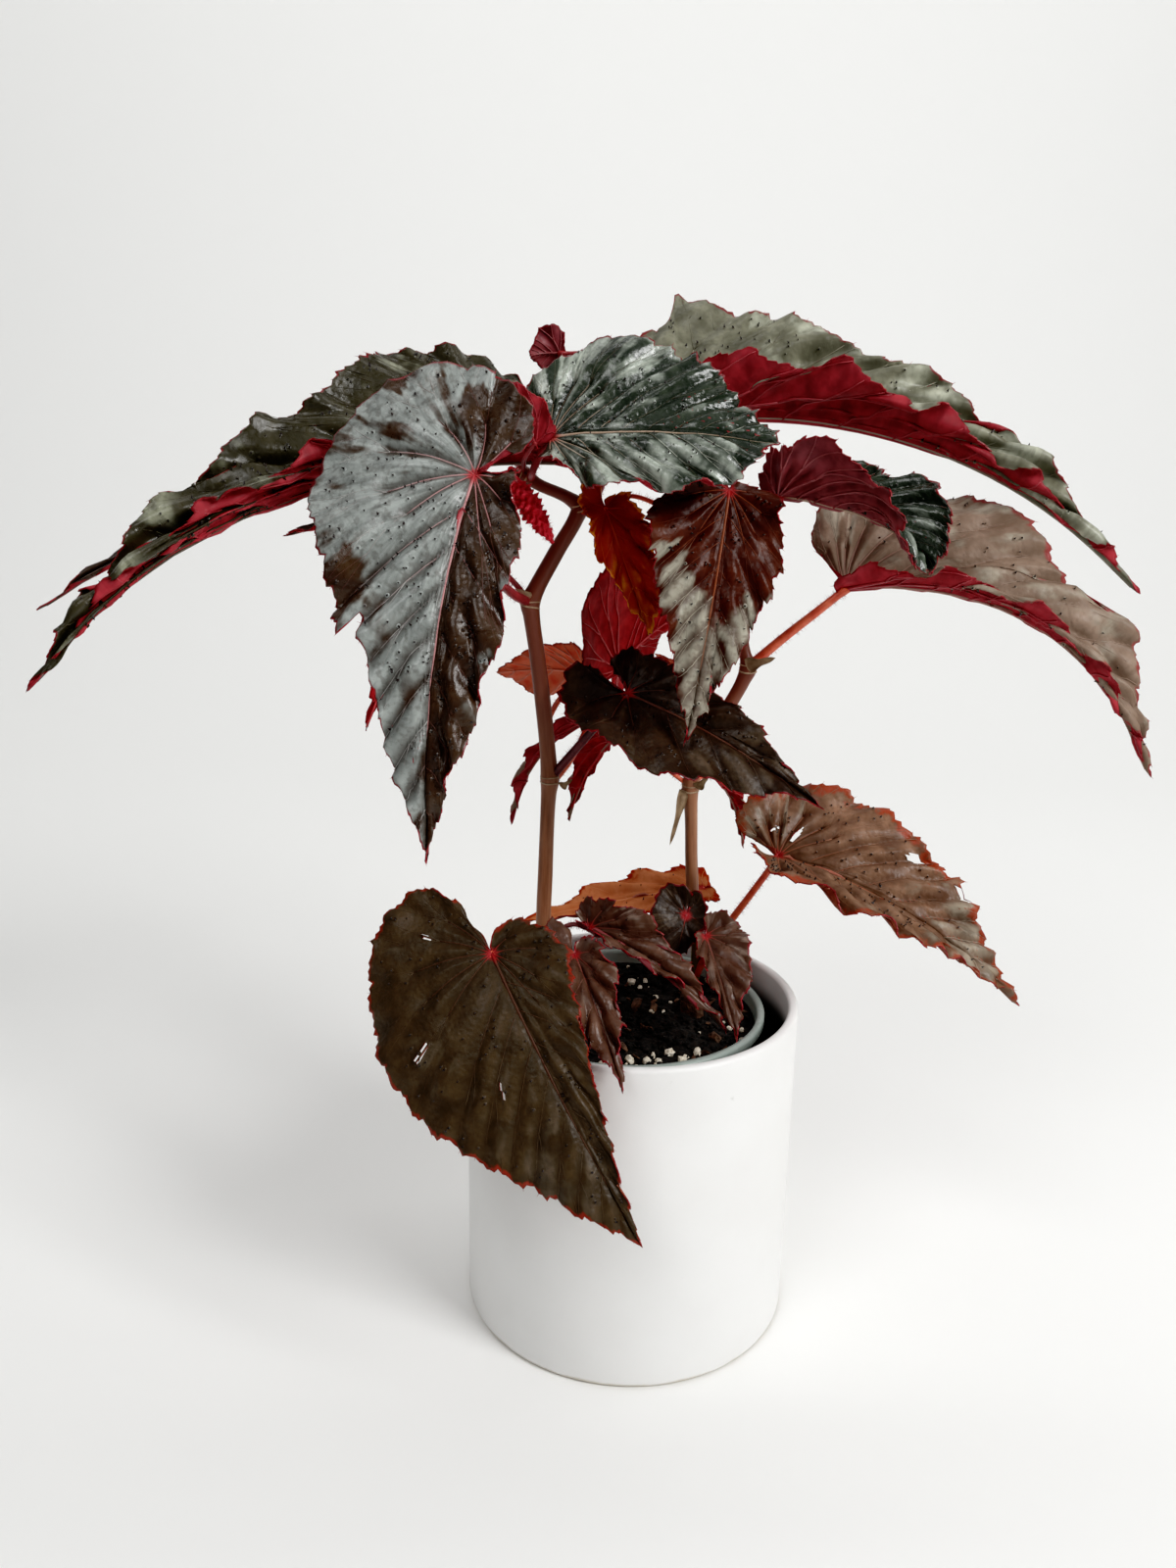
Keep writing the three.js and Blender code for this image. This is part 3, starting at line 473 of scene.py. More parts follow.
def frames_along(line):
    """Two directions across the line at each of its points, turning as little as they can."""
    ahead = unit(np.gradient(line, axis=0))
    across = np.zeros_like(line)
    hint = np.array([1, 0.2, 0.05])
    for i, a in enumerate(ahead):
        hint = unit(hint - hint @ a * a)
        across[i] = hint
    return ahead, across, np.cross(ahead, across)


def ring_faces(rings, sides, first=0, closed=False):
    """Faces from each ring of points to the next, and from the last to the first where closed."""
    faces = []
    for i in range(rings if closed else rings - 1):
        near = first + i * sides
        far = first + (i + 1) % rings * sides
        for k in range(sides):
            after = (k + 1) % sides
            faces.append((near + k, near + after, far + after, far + k))
    return faces


def tube(line, radii, sides):
    """The points and faces of a closed round tube."""
    _, across, other = frames_along(line)
    turn = np.linspace(0, 2 * np.pi, sides, endpoint=False)
    ring = around(turn[None, :, None], across[:, None], other[:, None])
    points = (line[:, None] + np.asarray(radii)[:, None, None] * ring).reshape(-1, 3)
    faces = ring_faces(len(line), sides)
    faces.append(tuple(range(sides - 1, -1, -1)))
    faces.append(tuple((len(line) - 1) * sides + k for k in range(sides)))
    return points, faces


def reach_of(line):
    steps = np.linalg.norm(np.diff(line, axis=0), axis=1)
    return np.concatenate([[0], np.cumsum(steps)])


# The shape of a leaf.


def margin(side, length, steps):
    """One half's margin in the flat leaf, from the tip to the notch at the stalk, in even steps."""
    width, lobe, full = side["width"], side["lobe"], side["full"]
    widest = side["peak"] * length
    turn = 0.34 * width
    gap = 0.05 * width
    shoulder = (widest + max(full, 0) * (length - widest), width * (1 + min(full, 0)))
    arcs = (
        ((length, 0), (length - 0.26 * (length - widest), side["blunt"] * width),
         shoulder, (widest, width)),
        ((widest, width), (widest - 0.55 * (widest + lobe), width),
         (-lobe, turn + 0.6 * (width - turn)), (-lobe, turn)),
        ((-lobe, turn), (-lobe, gap), (-0.35 * lobe - 2, gap), (-2.5, 0.7)),
    )
    t = np.linspace(0, 1, 41)[1:, None]
    path = [np.array([[length, 0.0]])]
    for a, b, c, d in np.array(arcs, float):
        path.append((1 - t) ** 3 * a + 3 * t * (1 - t) ** 2 * b + 3 * t * t * (1 - t) * c + t**3 * d)
    path = np.vstack(path)
    reach = reach_of(path)
    want = np.linspace(0, reach[-1], steps + 1)
    return between(want, reach, path)


def halves(leaf, length, steps):
    """Both halves' margins, with each half's swing at the notch, and with dents: steps in a margin."""
    share = np.arange(steps + 1) / steps
    found = []
    for key in ("left", "right"):
        line = margin(leaf[key], length, steps)
        for side, start, end, count, depth in leaf["scallops"]:
            part = np.clip((share - start) / (end - start), 0, 1)
            swell = depth * (np.abs(np.sin(np.pi * count * part)) - 0.8 * np.sin(np.pi * part))
            line = line * np.column_stack([np.ones_like(share), 1 + swell * (side == key)])
        for side, at, run, depth in leaf["dents"]:
            past = (share - at) * np.sign(run)
            cut = depth * np.exp(-np.maximum(past, 0) / abs(run)) * step(past, -0.012, 0.004)
            line = line - unit(line) * (cut * (side == key))[:, None]
        angle = np.arctan2(line[:, 1], line[:, 0])
        angle = angle - math.radians(leaf[key]["swing"]) * step(angle, math.radians(60), math.pi)
        far = np.linalg.norm(line, axis=1)
        found.append(np.column_stack([far * np.cos(angle), far * np.sin(angle)]))
    return found


class Midrib:
    """The arch of the midrib from the stalk's joint to the tip, with the frame of the leaf at any place."""

    def __init__(self, leaf):
        joint, tip, up = (np.array(leaf[key], float) for key in ("joint", "tip", "face"))
        chord = unit(tip - joint)
        up = unit(up - up @ chord * chord)
        self.across = np.cross(up, chord)
        crest = (joint + tip) / 2 + leaf["lean"] * (tip - joint)
        crest = crest + 2 * leaf["arch"] * up + 2 * leaf["bow"] * self.across
        t = np.linspace(0, 1, 401)[:, None]
        self.line = (1 - t) ** 2 * joint + 2 * t * (1 - t) * crest + t * t * tip
        self.ahead = unit((1 - t) * (crest - joint) + t * (tip - crest))
        self.reach = reach_of(self.line)
        self.length = self.reach[-1]
        self.twist = math.radians(leaf["twist"])
        self.late = leaf["late"]

    def at(self, along):
        here = np.clip(along, 0, self.length)
        ahead = unit(between(here, self.reach, self.ahead))
        centre = between(here, self.reach, self.line) + ahead * np.minimum(along, 0)[:, None]
        normal = unit(np.cross(ahead, self.across))
        level = np.cross(normal, ahead)
        turn = (self.twist * (here / self.length) ** self.late)[:, None]
        return (
            centre,
            normal * np.cos(turn) + level * np.sin(turn),
            level * np.cos(turn) - normal * np.sin(turn),
        )


def bent(leaf, rib, along, out, share, ring):
    """Points of the flat leaf in their place: the halves rise from the midrib and the margin waves."""
    sign = np.where(out >= 0, 1.0, -1.0)
    centre, normal, across = rib.at(along)
    rise, curl, width = (
        np.where(out >= 0, leaf["left"][key], leaf["right"][key]) for key in ("rise", "curl", "width")
    )
    start = np.radians(rise)
    turn = np.radians(curl) - start
    turn = np.where(np.abs(turn) < 1e-4, 1e-4, turn) / width
    far = np.abs(out)
    reach = (np.sin(start + turn * far) - np.sin(start)) / turn
    lift = (np.cos(start) - np.cos(start + turn * far)) / turn
    fade = np.minimum(share / 0.15, 1)
    wave = leaf["wave"] * ring**2 * fade * np.sin(2 * np.pi * leaf["waves"] * share + sign)
    return centre + across * (sign * reach)[:, None] + normal * (lift + wave)[:, None]


def saw(x):
    """A tooth for each whole number: a short steep side towards the tip, then a long one."""
    part = x - np.floor(x)
    steep = TOOTH_STEEP_SHARE
    return np.where(part < steep, part / steep, (1 - part) / (1 - steep))


def uneven(x, draw):
    """A slow random change along the margin, between about -1 and 1."""
    knots = draw.uniform(-1, 1, 400)
    return np.interp(x, np.arange(400), knots)


def toothed(flat, reach, share, size, sharp, draw):
    """The margin with its large and small teeth; size and sharp are 1 on most full-grown leaves."""
    away = unit(flat)
    fade = np.minimum(np.minimum(share / 0.03, (1 - share) / 0.1), 1)
    shift = 0.35 * uneven(reach / 9, draw)
    teeth = TOOTH_DEPTH * (saw(reach / (TOOTH_LENGTH * size) + shift) - 0.5)
    large = LARGE_TOOTH_DEPTH * (saw(reach / (LARGE_TOOTH_LENGTH * size) + 0.6 * shift) - 0.5)
    swell = 0.8 * uneven(reach / 17, draw)
    return flat + away * ((teeth + large + swell) * size * sharp * fade)[:, None]


def rays(side, full_grown):
    """The veins that run from the joint of one half to its margin, and their forks."""
    count = len(side) - 1
    wide = side[:, 1].max()
    ends = (0.43, 0.53, 0.63, 0.72, 0.8, 0.88) if wide > 36 else (0.46, 0.6, 0.74, 0.86)
    ends = ends if wide > 15 else ends[::2]
    gap = 0.5 * (ends[1] - ends[0])
    rows = []

    def ray(start, stop, share, drift, thick, rank):
        u = np.linspace(start, stop, 5 + int(9 * (stop - start)))
        past = (u - start) / max(1 - start, 1e-6)
        share = share + 0.05 * (1 - u) ** 2 + drift * past**0.75
        rows.append((u[:, None] * between(share * count, np.arange(count + 1), side), *thick, rank))

    for n, end in enumerate(ends):
        fork = 0.45 + 0.08 * (n % 3)
        again = fork + 0.5 * (1 - fork)
        ray(0, fork, end, 0, (0.66, 0.42), 1)
        for way in (-1, 1):
            drift = 0.55 * way * gap
            ray(fork, 0.99, end, drift, (0.42, 0.14), 2)
            if full_grown:
                middle = end + drift * ((again - fork) / (1 - fork)) ** 0.75
                ray(again, 0.98, middle, -0.3 * way * gap, (0.24, 0.12), 3)
    return rows


def side_veins(side, length, full_grown):
    """The veins that leave the midrib on one half, and their forks."""
    count = len(side) - 1
    rows = []
    for at in (0.1, 0.2, 0.31, 0.42, 0.53, 0.64, 0.75, 0.86) if full_grown else (0.2, 0.4, 0.6, 0.8):
        slope = side[:, 0] - (1.0 + 0.9 * at) * side[:, 1]
        j = int(np.argmin(np.abs(slope[: int(0.75 * count)] - at * length)))
        u = np.linspace(0, 0.97, 10)[:, None]
        start = np.array([at * length, 0])
        bend = start + (side[j] - start) * (0.42, 0.5)
        path = (1 - u) ** 2 * start + 2 * u * (1 - u) * bend + u * u * side[j]
        rows.append((path, 0.4, 0.16, 1))
        if full_grown and side[j, 1] > 9:
            aside = side[max(j - int(0.035 * count), 0)]
            v = np.linspace(0, 0.97, 6)[:, None]
            rows.append((path[5] + (aside - path[5]) * v, 0.24, 0.12, 2))
    return rows


def vein_rows(left, right, length, full_grown):
    """The veins in the flat leaf: (along, out) points, the first and last thickness, and a rank.

    Rank 0 is the midrib, 1 a vein from the joint or the midrib, 2 its fork and 3 the fork's own forks.
    """
    rows = [(np.column_stack([np.linspace(0, 0.98 * length, 26), np.zeros(26)]), 1.0, 0.25, 0)]
    for sign, side in ((1, left), (-1, right)):
        for path, *rest in rays(side, full_grown) + side_veins(side, length, full_grown):
            rows.append((path * (1, sign), *rest))
    return rows


def vein_tree(rows):
    """A search tree of close points along the veins."""
    spots = []
    for path, *_ in rows:
        reach = reach_of(path)
        at = np.linspace(0, reach[-1], int(reach[-1] / 0.5) + 2)
        spots += between(at, reach, path).tolist()
    tree = KDTree(len(spots))
    for i, (x, y) in enumerate(spots):
        tree.insert((x, y, 0), i)
    tree.balance()
    return tree


def gap_to(tree, points):
    """How far each flat point is from the nearest vein."""
    return np.array([tree.find((x, y, 0))[2] for x, y in points])


def ripples(along, out, draw):
    """Soft unevenness of the blade, between about -1 and 1."""
    total = np.zeros_like(along)
    for size in (37, 23, 14):
        angle = draw.uniform(0, np.pi)
        phase = draw.uniform(0, 2 * np.pi)
        total += np.sin((np.cos(angle) * along + np.sin(angle) * out) * 2 * np.pi / size + phase) / 3
    return total


class Blade:
    """The fine sheet of a leaf: a grid of rays from the joint by rings to the toothed margin."""

    def __init__(self, leaf, draw):
        self.leaf = leaf
        self.rib = Midrib(leaf)
        self.size = min(max(self.rib.length / FULL_LENGTH, 0.45), 1.0)
        toothy = self.set_outline(draw)
        share, out, r = self.set_grid(toothy)
        sheet = bent(leaf, self.rib, self.place[:, 0], out, share, r)
        crest = self.relief(share, out, r, draw)
        self.sheet = sheet + self.normals(sheet) * crest[:, None]
        self.normal = self.normals(self.sheet)
        self.markings_and_sheen = self.markings_and_sheen_at(self.place, out)

    def set_outline(self, draw):
        """Sets the smooth margin and the veins, and returns the margin with its teeth."""
        leaf, length = self.leaf, self.rib.length
        grain = max(self.size, 0.75) * leaf["grain"]
        widths = leaf["left"]["width"] + leaf["right"]["width"]
        self.steps = int((length + 0.5 * widths) / (POINT_SPACING * grain))
        self.rings = max(int((0.5 * length + 0.25 * widths) / (RING_SPACING * grain)), 8)
        self.count = 2 * self.steps + 1
        left, right = halves(leaf, length, self.steps)
        self.veins = vein_rows(left, right, length, widths > 50)
        self.tree = vein_tree(self.veins)
        self.flat = np.vstack([left[::-1], right[1:] * (1, -1)])
        self.share = np.abs(np.arange(self.count) - self.steps) / self.steps
        self.angles = [np.unwrap(np.arctan2(side[:, 1], side[:, 0])) for side in (left, right)]
        edge = np.concatenate([reach_of(left)[::-1], reach_of(right)[1:] + 500])
        return toothed(self.flat, edge, self.share, self.size, leaf["teeth"], draw)

    def set_grid(self, toothy):
        """Sets the flat points; returns their share of the margin, their half's sign and their ring."""
        ring = np.arange(1, self.rings + 1) / self.rings
        self.ring = 1 - (1 - ring) ** 1.15
        r = np.repeat(self.ring, self.count)
        plain = np.tile(self.flat, (self.rings, 1)) * r[:, None]
        teeth = np.tile(toothy - self.flat, (self.rings, 1)) * (r**6)[:, None]
        place = np.vstack([[0, 0], plain + teeth])
        r = np.concatenate([[0], r])
        share = np.concatenate([[0], np.tile(self.share, self.rings)])
        sign = np.where(np.arange(self.count) <= self.steps, 1e-6, -1e-6)
        sign = np.concatenate([[1e-6], np.tile(sign, self.rings)])
        out = np.where(np.abs(place[:, 1]) < 1e-6, sign, place[:, 1])
        reach = np.linalg.norm(self.flat, axis=1)
        self.place = place
        self.edge_gap = (1 - r) * np.concatenate([[1], np.tile(reach, self.rings)])
        self.from_joint = np.linalg.norm(place, axis=1)
        self.gap = gap_to(vein_tree([row for row in self.veins if row[3] < 2]), place)
        return share, out, r

    def relief(self, share, out, r, draw):
        """How far the blade stands out: cushions between the veins, soft ripples and a ruffled margin."""
        leaf, place = self.leaf, self.place
        inner = step(self.from_joint, 1, 12)
        width = np.where(out >= 0, leaf["left"]["width"], leaf["right"]["width"])
        bulge = leaf["bulge"] * self.size * inner * (0.4 + 0.6 * width / width.max())
        crest = CUSHION_HEIGHT * bulge * (1 + 0.5 * r**3)
        crest *= 1 - np.exp(-((self.gap / (CUSHION_REACH * self.size)) ** 1.4))
        fine = gap_to(self.tree, place) / (FINE_CUSHION_REACH * self.size)
        crest += FINE_CUSHION_HEIGHT * bulge * (1 - np.exp(-(fine**2)))
        crest += (0.5 + 0.9 * r**4) * self.size * inner * ripples(place[:, 0], place[:, 1], draw)
        turn = share * self.rib.length * RUFFLE_TURN + 2 * out / 9
        return crest + leaf["ruffle"] * self.size * r**4 * np.sin(turn)

    def markings_and_sheen_at(self, place, out):
        """How much silvery colour the upper face has, partly its own markings and partly painted sheen: a
        value for each half, and rounded patches that change it.
        """
        left, right = self.leaf["markings_and_sheen"]
        markings_and_sheen = np.where(out >= 0, left, right)
        for along, across, reach, amount in self.leaf["patches"]:
            far = np.hypot(place[:, 0] - along, place[:, 1] - across)
            markings_and_sheen = markings_and_sheen + amount * np.exp(-((far / reach) ** 2))
        return markings_and_sheen

    def with_markings_and_sheen(self, place):
        return np.column_stack([place, self.markings_and_sheen_at(place, place[:, 1])])

    def at(self, ring, i):
        return 1 + (ring - 1) * self.count + i

    def normals(self, sheet):
        grid = np.concatenate([np.repeat(sheet[:1], self.count, 0), sheet[1:]])
        grid = grid.reshape(self.rings + 1, self.count, 3)
        outward = np.gradient(grid, axis=0)
        onward = np.gradient(grid, axis=1)
        normal = unit(np.cross(onward, outward))
        flat = normal[1:].reshape(-1, 3)
        return np.vstack([unit(normal[1].mean(0, keepdims=True)), flat])

    def on_sheet(self, share, ring, sign):
        """Points and normals of the sheet at any share of a half's margin and ring between 0 and 1."""
        column = np.clip(self.steps - sign * share * self.steps, 0, self.count - 1.001)
        row = np.interp(ring, np.concatenate([[0], self.ring]), np.arange(self.rings + 1))
        row = np.clip(row, 0, self.rings - 0.001)
        i, k = column.astype(int), row.astype(int)
        x, y = (column - i)[:, None], (row - k)[:, None]

        def at(ring, column):
            return np.where(ring == 0, 0, self.at(ring, column))

        found = []
        for values in (self.sheet, self.normal):
            near = values[at(k, i)] * (1 - x) + values[at(k, i + 1)] * x
            far = values[at(k + 1, i)] * (1 - x) + values[at(k + 1, i + 1)] * x
            found.append(near * (1 - y) + far * y)
        return found[0], unit(found[1])

    def on_flat(self, points):
        """Points and normals of the sheet at flat (along, out) points."""
        angle = np.arctan2(points[:, 1], points[:, 0])
        angle = np.where(angle < self.angles[0].max() - 2 * np.pi, angle + 2 * np.pi, angle)
        sign = np.where((angle >= 0) & (angle <= self.angles[0].max()), 1.0, -1.0)
        angle = np.where(sign > 0, angle, np.where(angle > 0, 2 * np.pi - angle, -angle))
        share = np.zeros(len(points))
        edge = np.zeros(len(points))
        for s, turn in ((1.0, self.angles[0]), (-1.0, self.angles[1])):
            mine = sign == s
            order = np.maximum.accumulate(turn)
            share[mine] = np.interp(angle[mine], order, np.arange(len(turn)) / self.steps)
            column = (self.steps - s * share[mine] * self.steps).round().astype(int)
            column = np.clip(column, 0, self.count - 1)
            edge[mine] = np.linalg.norm(self.flat[column], axis=1)
        ring = np.linalg.norm(points, axis=1) / np.maximum(edge, 1e-6)
        return self.on_sheet(share, np.clip(ring, 0, 1), sign)


def cut_slits(leaf, place, faces):
    """The faces without those in the leaf's torn slits, and the edges that border the slits."""
    kept, gone = [], []
    for face in faces:
        along, across = place[list(face)].mean(0)
        hit = False
        for x, y, reach, wide, turn in leaf["slits"]:
            c, s = math.cos(math.radians(turn)), math.sin(math.radians(turn))
            ahead = (along - x) * c + (across - y) * s
            aside = (across - y) * c - (along - x) * s
            hit = hit or (ahead / reach) ** 2 + (aside / wide) ** 2 < 1
        (gone if hit else kept).append(face)
    edges = [(a, b) for face in gone for a, b in zip(face, face[1:] + face[:1])]
    pairs = set(edges)
    return kept, [(b, a) for a, b in edges if (b, a) not in pairs]


def add_blade(pile, blade):
    """Both faces of the blade and its thin red edge."""
    leaf = blade.leaf
    count, rings = blade.count, blade.rings
    lift = blade.normal * BLADE_THICKNESS / 2
    upper = []
    for i in range(count - 1):
        upper.append((0, blade.at(1, i + 1), blade.at(1, i)))
        for ring in range(1, rings):
            a, b = blade.at(ring, i), blade.at(ring, i + 1)
            upper.append((a, b, b + count, a + count))
    under = len(blade.sheet)
    upper, cut_edges = cut_slits(leaf, blade.place, upper)
    lower = [tuple(under + v for v in reversed(face)) for face in upper]
    rim = [0] + [blade.at(ring, 0) for ring in range(1, rings + 1)]
    rim += [blade.at(rings, i) for i in range(1, count)]
    rim += [blade.at(ring, count - 1) for ring in range(rings - 1, 0, -1)]
    walls = [(a, b, under + b, under + a) for a, b in [*zip(rim, rim[1:] + rim[:1]), *cut_edges]]
    facts = np.column_stack([blade.gap, blade.edge_gap, blade.from_joint])
    places = np.column_stack([blade.place, blade.markings_and_sheen])
    points = np.vstack([blade.sheet + lift, blade.sheet - lift])
    facts, places = np.tile(facts, (2, 1)), np.tile(places, (2, 1))
    start = pile.add(points, upper, "top_" + leaf["top"], facts, places)
    pile.cover(start, lower, "under_" + leaf["under"])
    pile.cover(start, walls, "leaf_edge", True)


def add_veins(pile, blade):
    """The veins stand a little proud of both faces, more below than above."""
    leaf = blade.leaf
    for path, first, last, rank in blade.veins:
        centre, normal = blade.on_flat(path)
        thick = blade.size * np.linspace(first, last, len(centre))
        near = thick * (0.95 if rank == 0 else 0.55) + 0.06
        far = thick + 0.1
        top = centre + normal * (BLADE_THICKNESS / 2 - 0.3 * near)[:, None]
        low = centre - normal * (BLADE_THICKNESS / 2 + 0.7 * far)[:, None]
        from_joint = np.linalg.norm(path, axis=1)
        ranks = np.full(len(path), float(rank))
        facts = np.column_stack([from_joint / blade.rib.length, from_joint, ranks])
        points, faces = tube(top, near, 4)
        places = np.repeat(blade.with_markings_and_sheen(path), 4, 0)
        pile.add(points, faces, "vein_" + leaf["top"], np.repeat(facts, 4, 0), places)
        if rank < 3:
            points, faces = tube(low, far, 5)
            pile.add(points, faces, "rib_" + leaf["under"], np.repeat(facts, 5, 0))


def spikes(pile, base, way, length, thick, skin):
    """A thin three-sided hair at each base point."""
    way = unit(way)
    across, other = sides_of(way, [0.3, 0.5, 0.81])
    count = len(base)
    rows = []
    for turn in (0, 2.094, 4.189):
        rows.append(base + around(turn, across, other) * np.asarray(thick)[:, None])
    rows.append(base + way * np.asarray(length)[:, None])
    points = np.stack(rows, 1).reshape(-1, 3)
    faces = [(4 * i + a, 4 * i + b, 4 * i + 3) for i in range(count) for a, b in ((0, 1), (1, 2), (2, 0))]
    pile.add(points, faces, skin)


def add_bristles(pile, blade, draw):
    """Small dark bristles between the veins of the upper face, each on a low mound."""
    leaf = blade.leaf
    area = 0.75 * blade.rib.length * (leaf["left"]["width"] + leaf["right"]["width"])
    count = int(leaf["bristles"] * area / AREA_PER_BRISTLE)
    if not count:
        return
    share = draw.uniform(0.02, 0.9, count * 3)
    ring = draw.uniform(0.02, 0.94, count * 3) ** 0.6
    sign = np.where(draw.uniform(0, 1, count * 3) < 0.5, 1.0, -1.0)
    column = np.round(blade.steps - sign * share * blade.steps).astype(int)
    place = blade.flat[column] * ring[:, None]
    keep = np.flatnonzero(gap_to(blade.tree, place) > BRISTLE_TO_VEIN)[:count]
    base, normal = blade.on_sheet(share[keep], ring[keep], sign[keep])
    base = base + normal * (BLADE_THICKNESS / 2 - 0.05)
    size = draw.uniform(0.75, 1.25, len(keep)) * blade.size
    add_mounds(pile, blade, base, normal, size, place[keep])
    lean = draw.normal(0, 0.25, (len(keep), 3))
    foot = base + normal * (0.4 * size)[:, None]
    spikes(pile, foot, normal + lean, BRISTLE_LENGTH * size, BRISTLE_THICKNESS * size, "bristle")


def add_mounds(pile, blade, base, normal, size, place):
    """A low round mound under each bristle, of the leaf's own skin."""
    across, other = sides_of(normal, [0.3, 0.5, 0.81])
    rows = []
    for reach, rise in ((0.9, 0.0), (0.55, 0.2)):
        for turn in np.linspace(0, 2 * np.pi, 6, endpoint=False):
            way = around(turn, across, other)
            rows.append(base + (way * reach + normal * rise) * size[:, None])
    rows.append(base + normal * (0.32 * size)[:, None])
    points = np.stack(rows, 1).reshape(-1, 3)
    faces = []
    for i in range(len(base)):
        low, high, top = 13 * i, 13 * i + 6, 13 * i + 12
        for k in range(6):
            after = (k + 1) % 6
            faces.append((low + k, low + after, high + after, high + k))
            faces.append((high + k, high + after, top))
    facts = np.tile([4.0, 9.0, 40.0], (len(points), 1))
    places = np.repeat(blade.with_markings_and_sheen(place), 13, 0)
    pile.add(points, faces, "top_" + blade.leaf["top"], facts, places)


def add_margin_hairs(pile, blade, draw):
    """A short red hair at each tooth."""
    rim = np.arange(2, blade.count - 2, 4)
    base = blade.sheet[blade.at(blade.rings, 0) + rim]
    inside = blade.sheet[blade.at(blade.rings - 1, 0) + rim]
    way = unit(base - inside) + draw.normal(0, 0.35, base.shape)
    length = draw.uniform(0.6, 1.9, len(rim)) * blade.size
    spikes(pile, base, way, length, np.full(len(rim), MARGIN_HAIR_THICKNESS), "hair_red")


def hairs_on(pile, line, radii, density, length, skin, draw):
    """Fine hairs standing out all round a stalk or stem."""
    reach = reach_of(line)
    count = int(reach[-1] * density)
    at = draw.uniform(0, reach[-1], count)
    centre = between(at, reach, line)
    radius = np.interp(at, reach, radii)
    ahead, across, other = frames_along(line)
    pick = np.clip(np.searchsorted(reach, at), 0, len(line) - 1)
    turn = draw.uniform(0, 2 * np.pi, count)[:, None]
    way = around(turn, across[pick], other[pick])
    lean = ahead[pick] * draw.uniform(-0.3, 0.5, count)[:, None]
    size = draw.uniform(0.5, 1.2, count) * length
    foot = centre + way * (radius * 0.9)[:, None]
    spikes(pile, foot, way + lean, size, np.full(count, HAIR_THICKNESS), skin)


def add_stalk(pile, blade, draw):
    """The stalk from the middle of the stem to the joint, thicker at both ends, with fine hairs."""
    leaf = blade.leaf
    _, normal, _ = blade.rib.at(np.array([0.5]))
    end = np.array(leaf["joint"], float) - 0.8 * normal[0]
    line = smooth_route([*leaf["stalk"], tuple(end)], STALK_STEPS)
    share = np.linspace(0, 1, len(line))
    swell = 0.35 * step(share, 0.93, 1) + 0.25 * step(-share, -0.1, 0)
    radii = leaf["girth"] * (1.12 - 0.26 * share + swell)
    last = line[-1] + normal[0] * 1.2
    line = np.vstack([line, last])
    radii = np.append(radii, leaf["girth"] * 0.75)
    points, faces = tube(line, radii, STALK_SIDES)
    pile.add(points, faces, "stalk_" + leaf["stalk_skin"])
    density = STALK_HAIR_COUNT * blade.size
    hairs_on(pile, line[:-1], radii[:-1], density, STALK_HAIR, "hair_red", draw)


def leaf_piece(leaf, number):
    draw = np.random.default_rng(LEAF_DRAW + number)
    blade = Blade(leaf, draw)
    pile = Pile()
    add_blade(pile, blade)
    add_veins(pile, blade)
    add_bristles(pile, blade, draw)
    add_margin_hairs(pile, blade, draw)
    add_stalk(pile, blade, draw)
    dress(pile, leaf["name"])


# Stems, bud, pot, liner and soil.


def stem_piece(name, rows, number):
    draw = np.random.default_rng(STEM_DRAW + number)
    route = smooth_route(rows, STEM_STEPS)
    line, radii = route[:, :3], route[:, 3]
    height = line[:, 2]
    line = line + 0.12 * np.column_stack([uneven(height / 9, draw), uneven(height / 7, draw), 0 * height])
    pile = Pile()
    points, faces = tube(line, radii, STEM_SIDES)
    along = np.repeat(reach_of(line), STEM_SIDES)
    turn = np.tile(np.arange(STEM_SIDES), len(line)) / STEM_SIDES
    pile.add(points, faces, "stem", np.column_stack([along, turn, np.repeat(height, STEM_SIDES)]), points)
    for joint in CANE_JOINTS[name]:
        at = joint * STEM_STEPS
        for shift, thick in SCARS:
            centre = line[at] + unit(line[at + 1] - line[at - 1]) * shift
            add_ring(pile, centre, line[at + 1] - line[at - 1], radii[at] * 0.985, thick, draw)
    third = len(line) // 3
    hairs_on(pile, line[third:], radii[third:], STEM_HAIR_COUNT, STEM_HAIR, "hair_red", draw)
    add_stipules(pile, name)
    dress(pile, name)


def add_ring(pile, centre, way, radius, thick, draw):
    """The thin pale scar round a joint of the cane."""
    way = unit(way)
    across, other = sides_of(way, [0.3, 0.9, 0.2])
    turn = np.linspace(0, 2 * np.pi, SCAR_STEPS + 1)[:-1]
    wander = 0.35 * np.sin(turn + draw.uniform(0, 6)) + 0.15 * np.sin(3 * turn)
    ring = centre + radius * around(turn[:, None], across, other) + wander[:, None] * way
    outward = unit(ring - centre)
    points = []
    for part in np.linspace(0, 2 * np.pi, SCAR_SIDES + 1)[:-1]:
        points.append(ring + thick * (np.cos(part) * outward + 1.4 * np.sin(part) * way))
    points = np.stack(points, 1).reshape(-1, 3)
    pile.add(points, ring_faces(SCAR_STEPS, SCAR_SIDES, closed=True), "scar")


# Papery scales at the joints of the canes: where each starts, which way it hangs, its length and width.
STIPULES = {
    "stem_left": [
        ((-43.5, 7, 326), (-0.75, -0.3, 0.35), 13, 5),
        ((-34, 7, 244), (0.55, -0.3, 0.5), 8, 4),
    ],
    "stem_right": [
        ((22, 20.5, 240), (-0.25, -0.15, -1), 26, 4.5),
        ((27.5, 20.5, 241), (0.35, -0.3, 0.6), 11, 5),
        ((46.5, 16.5, 298), (0.75, -0.3, 0.3), 14, 6.5),
    ],
}


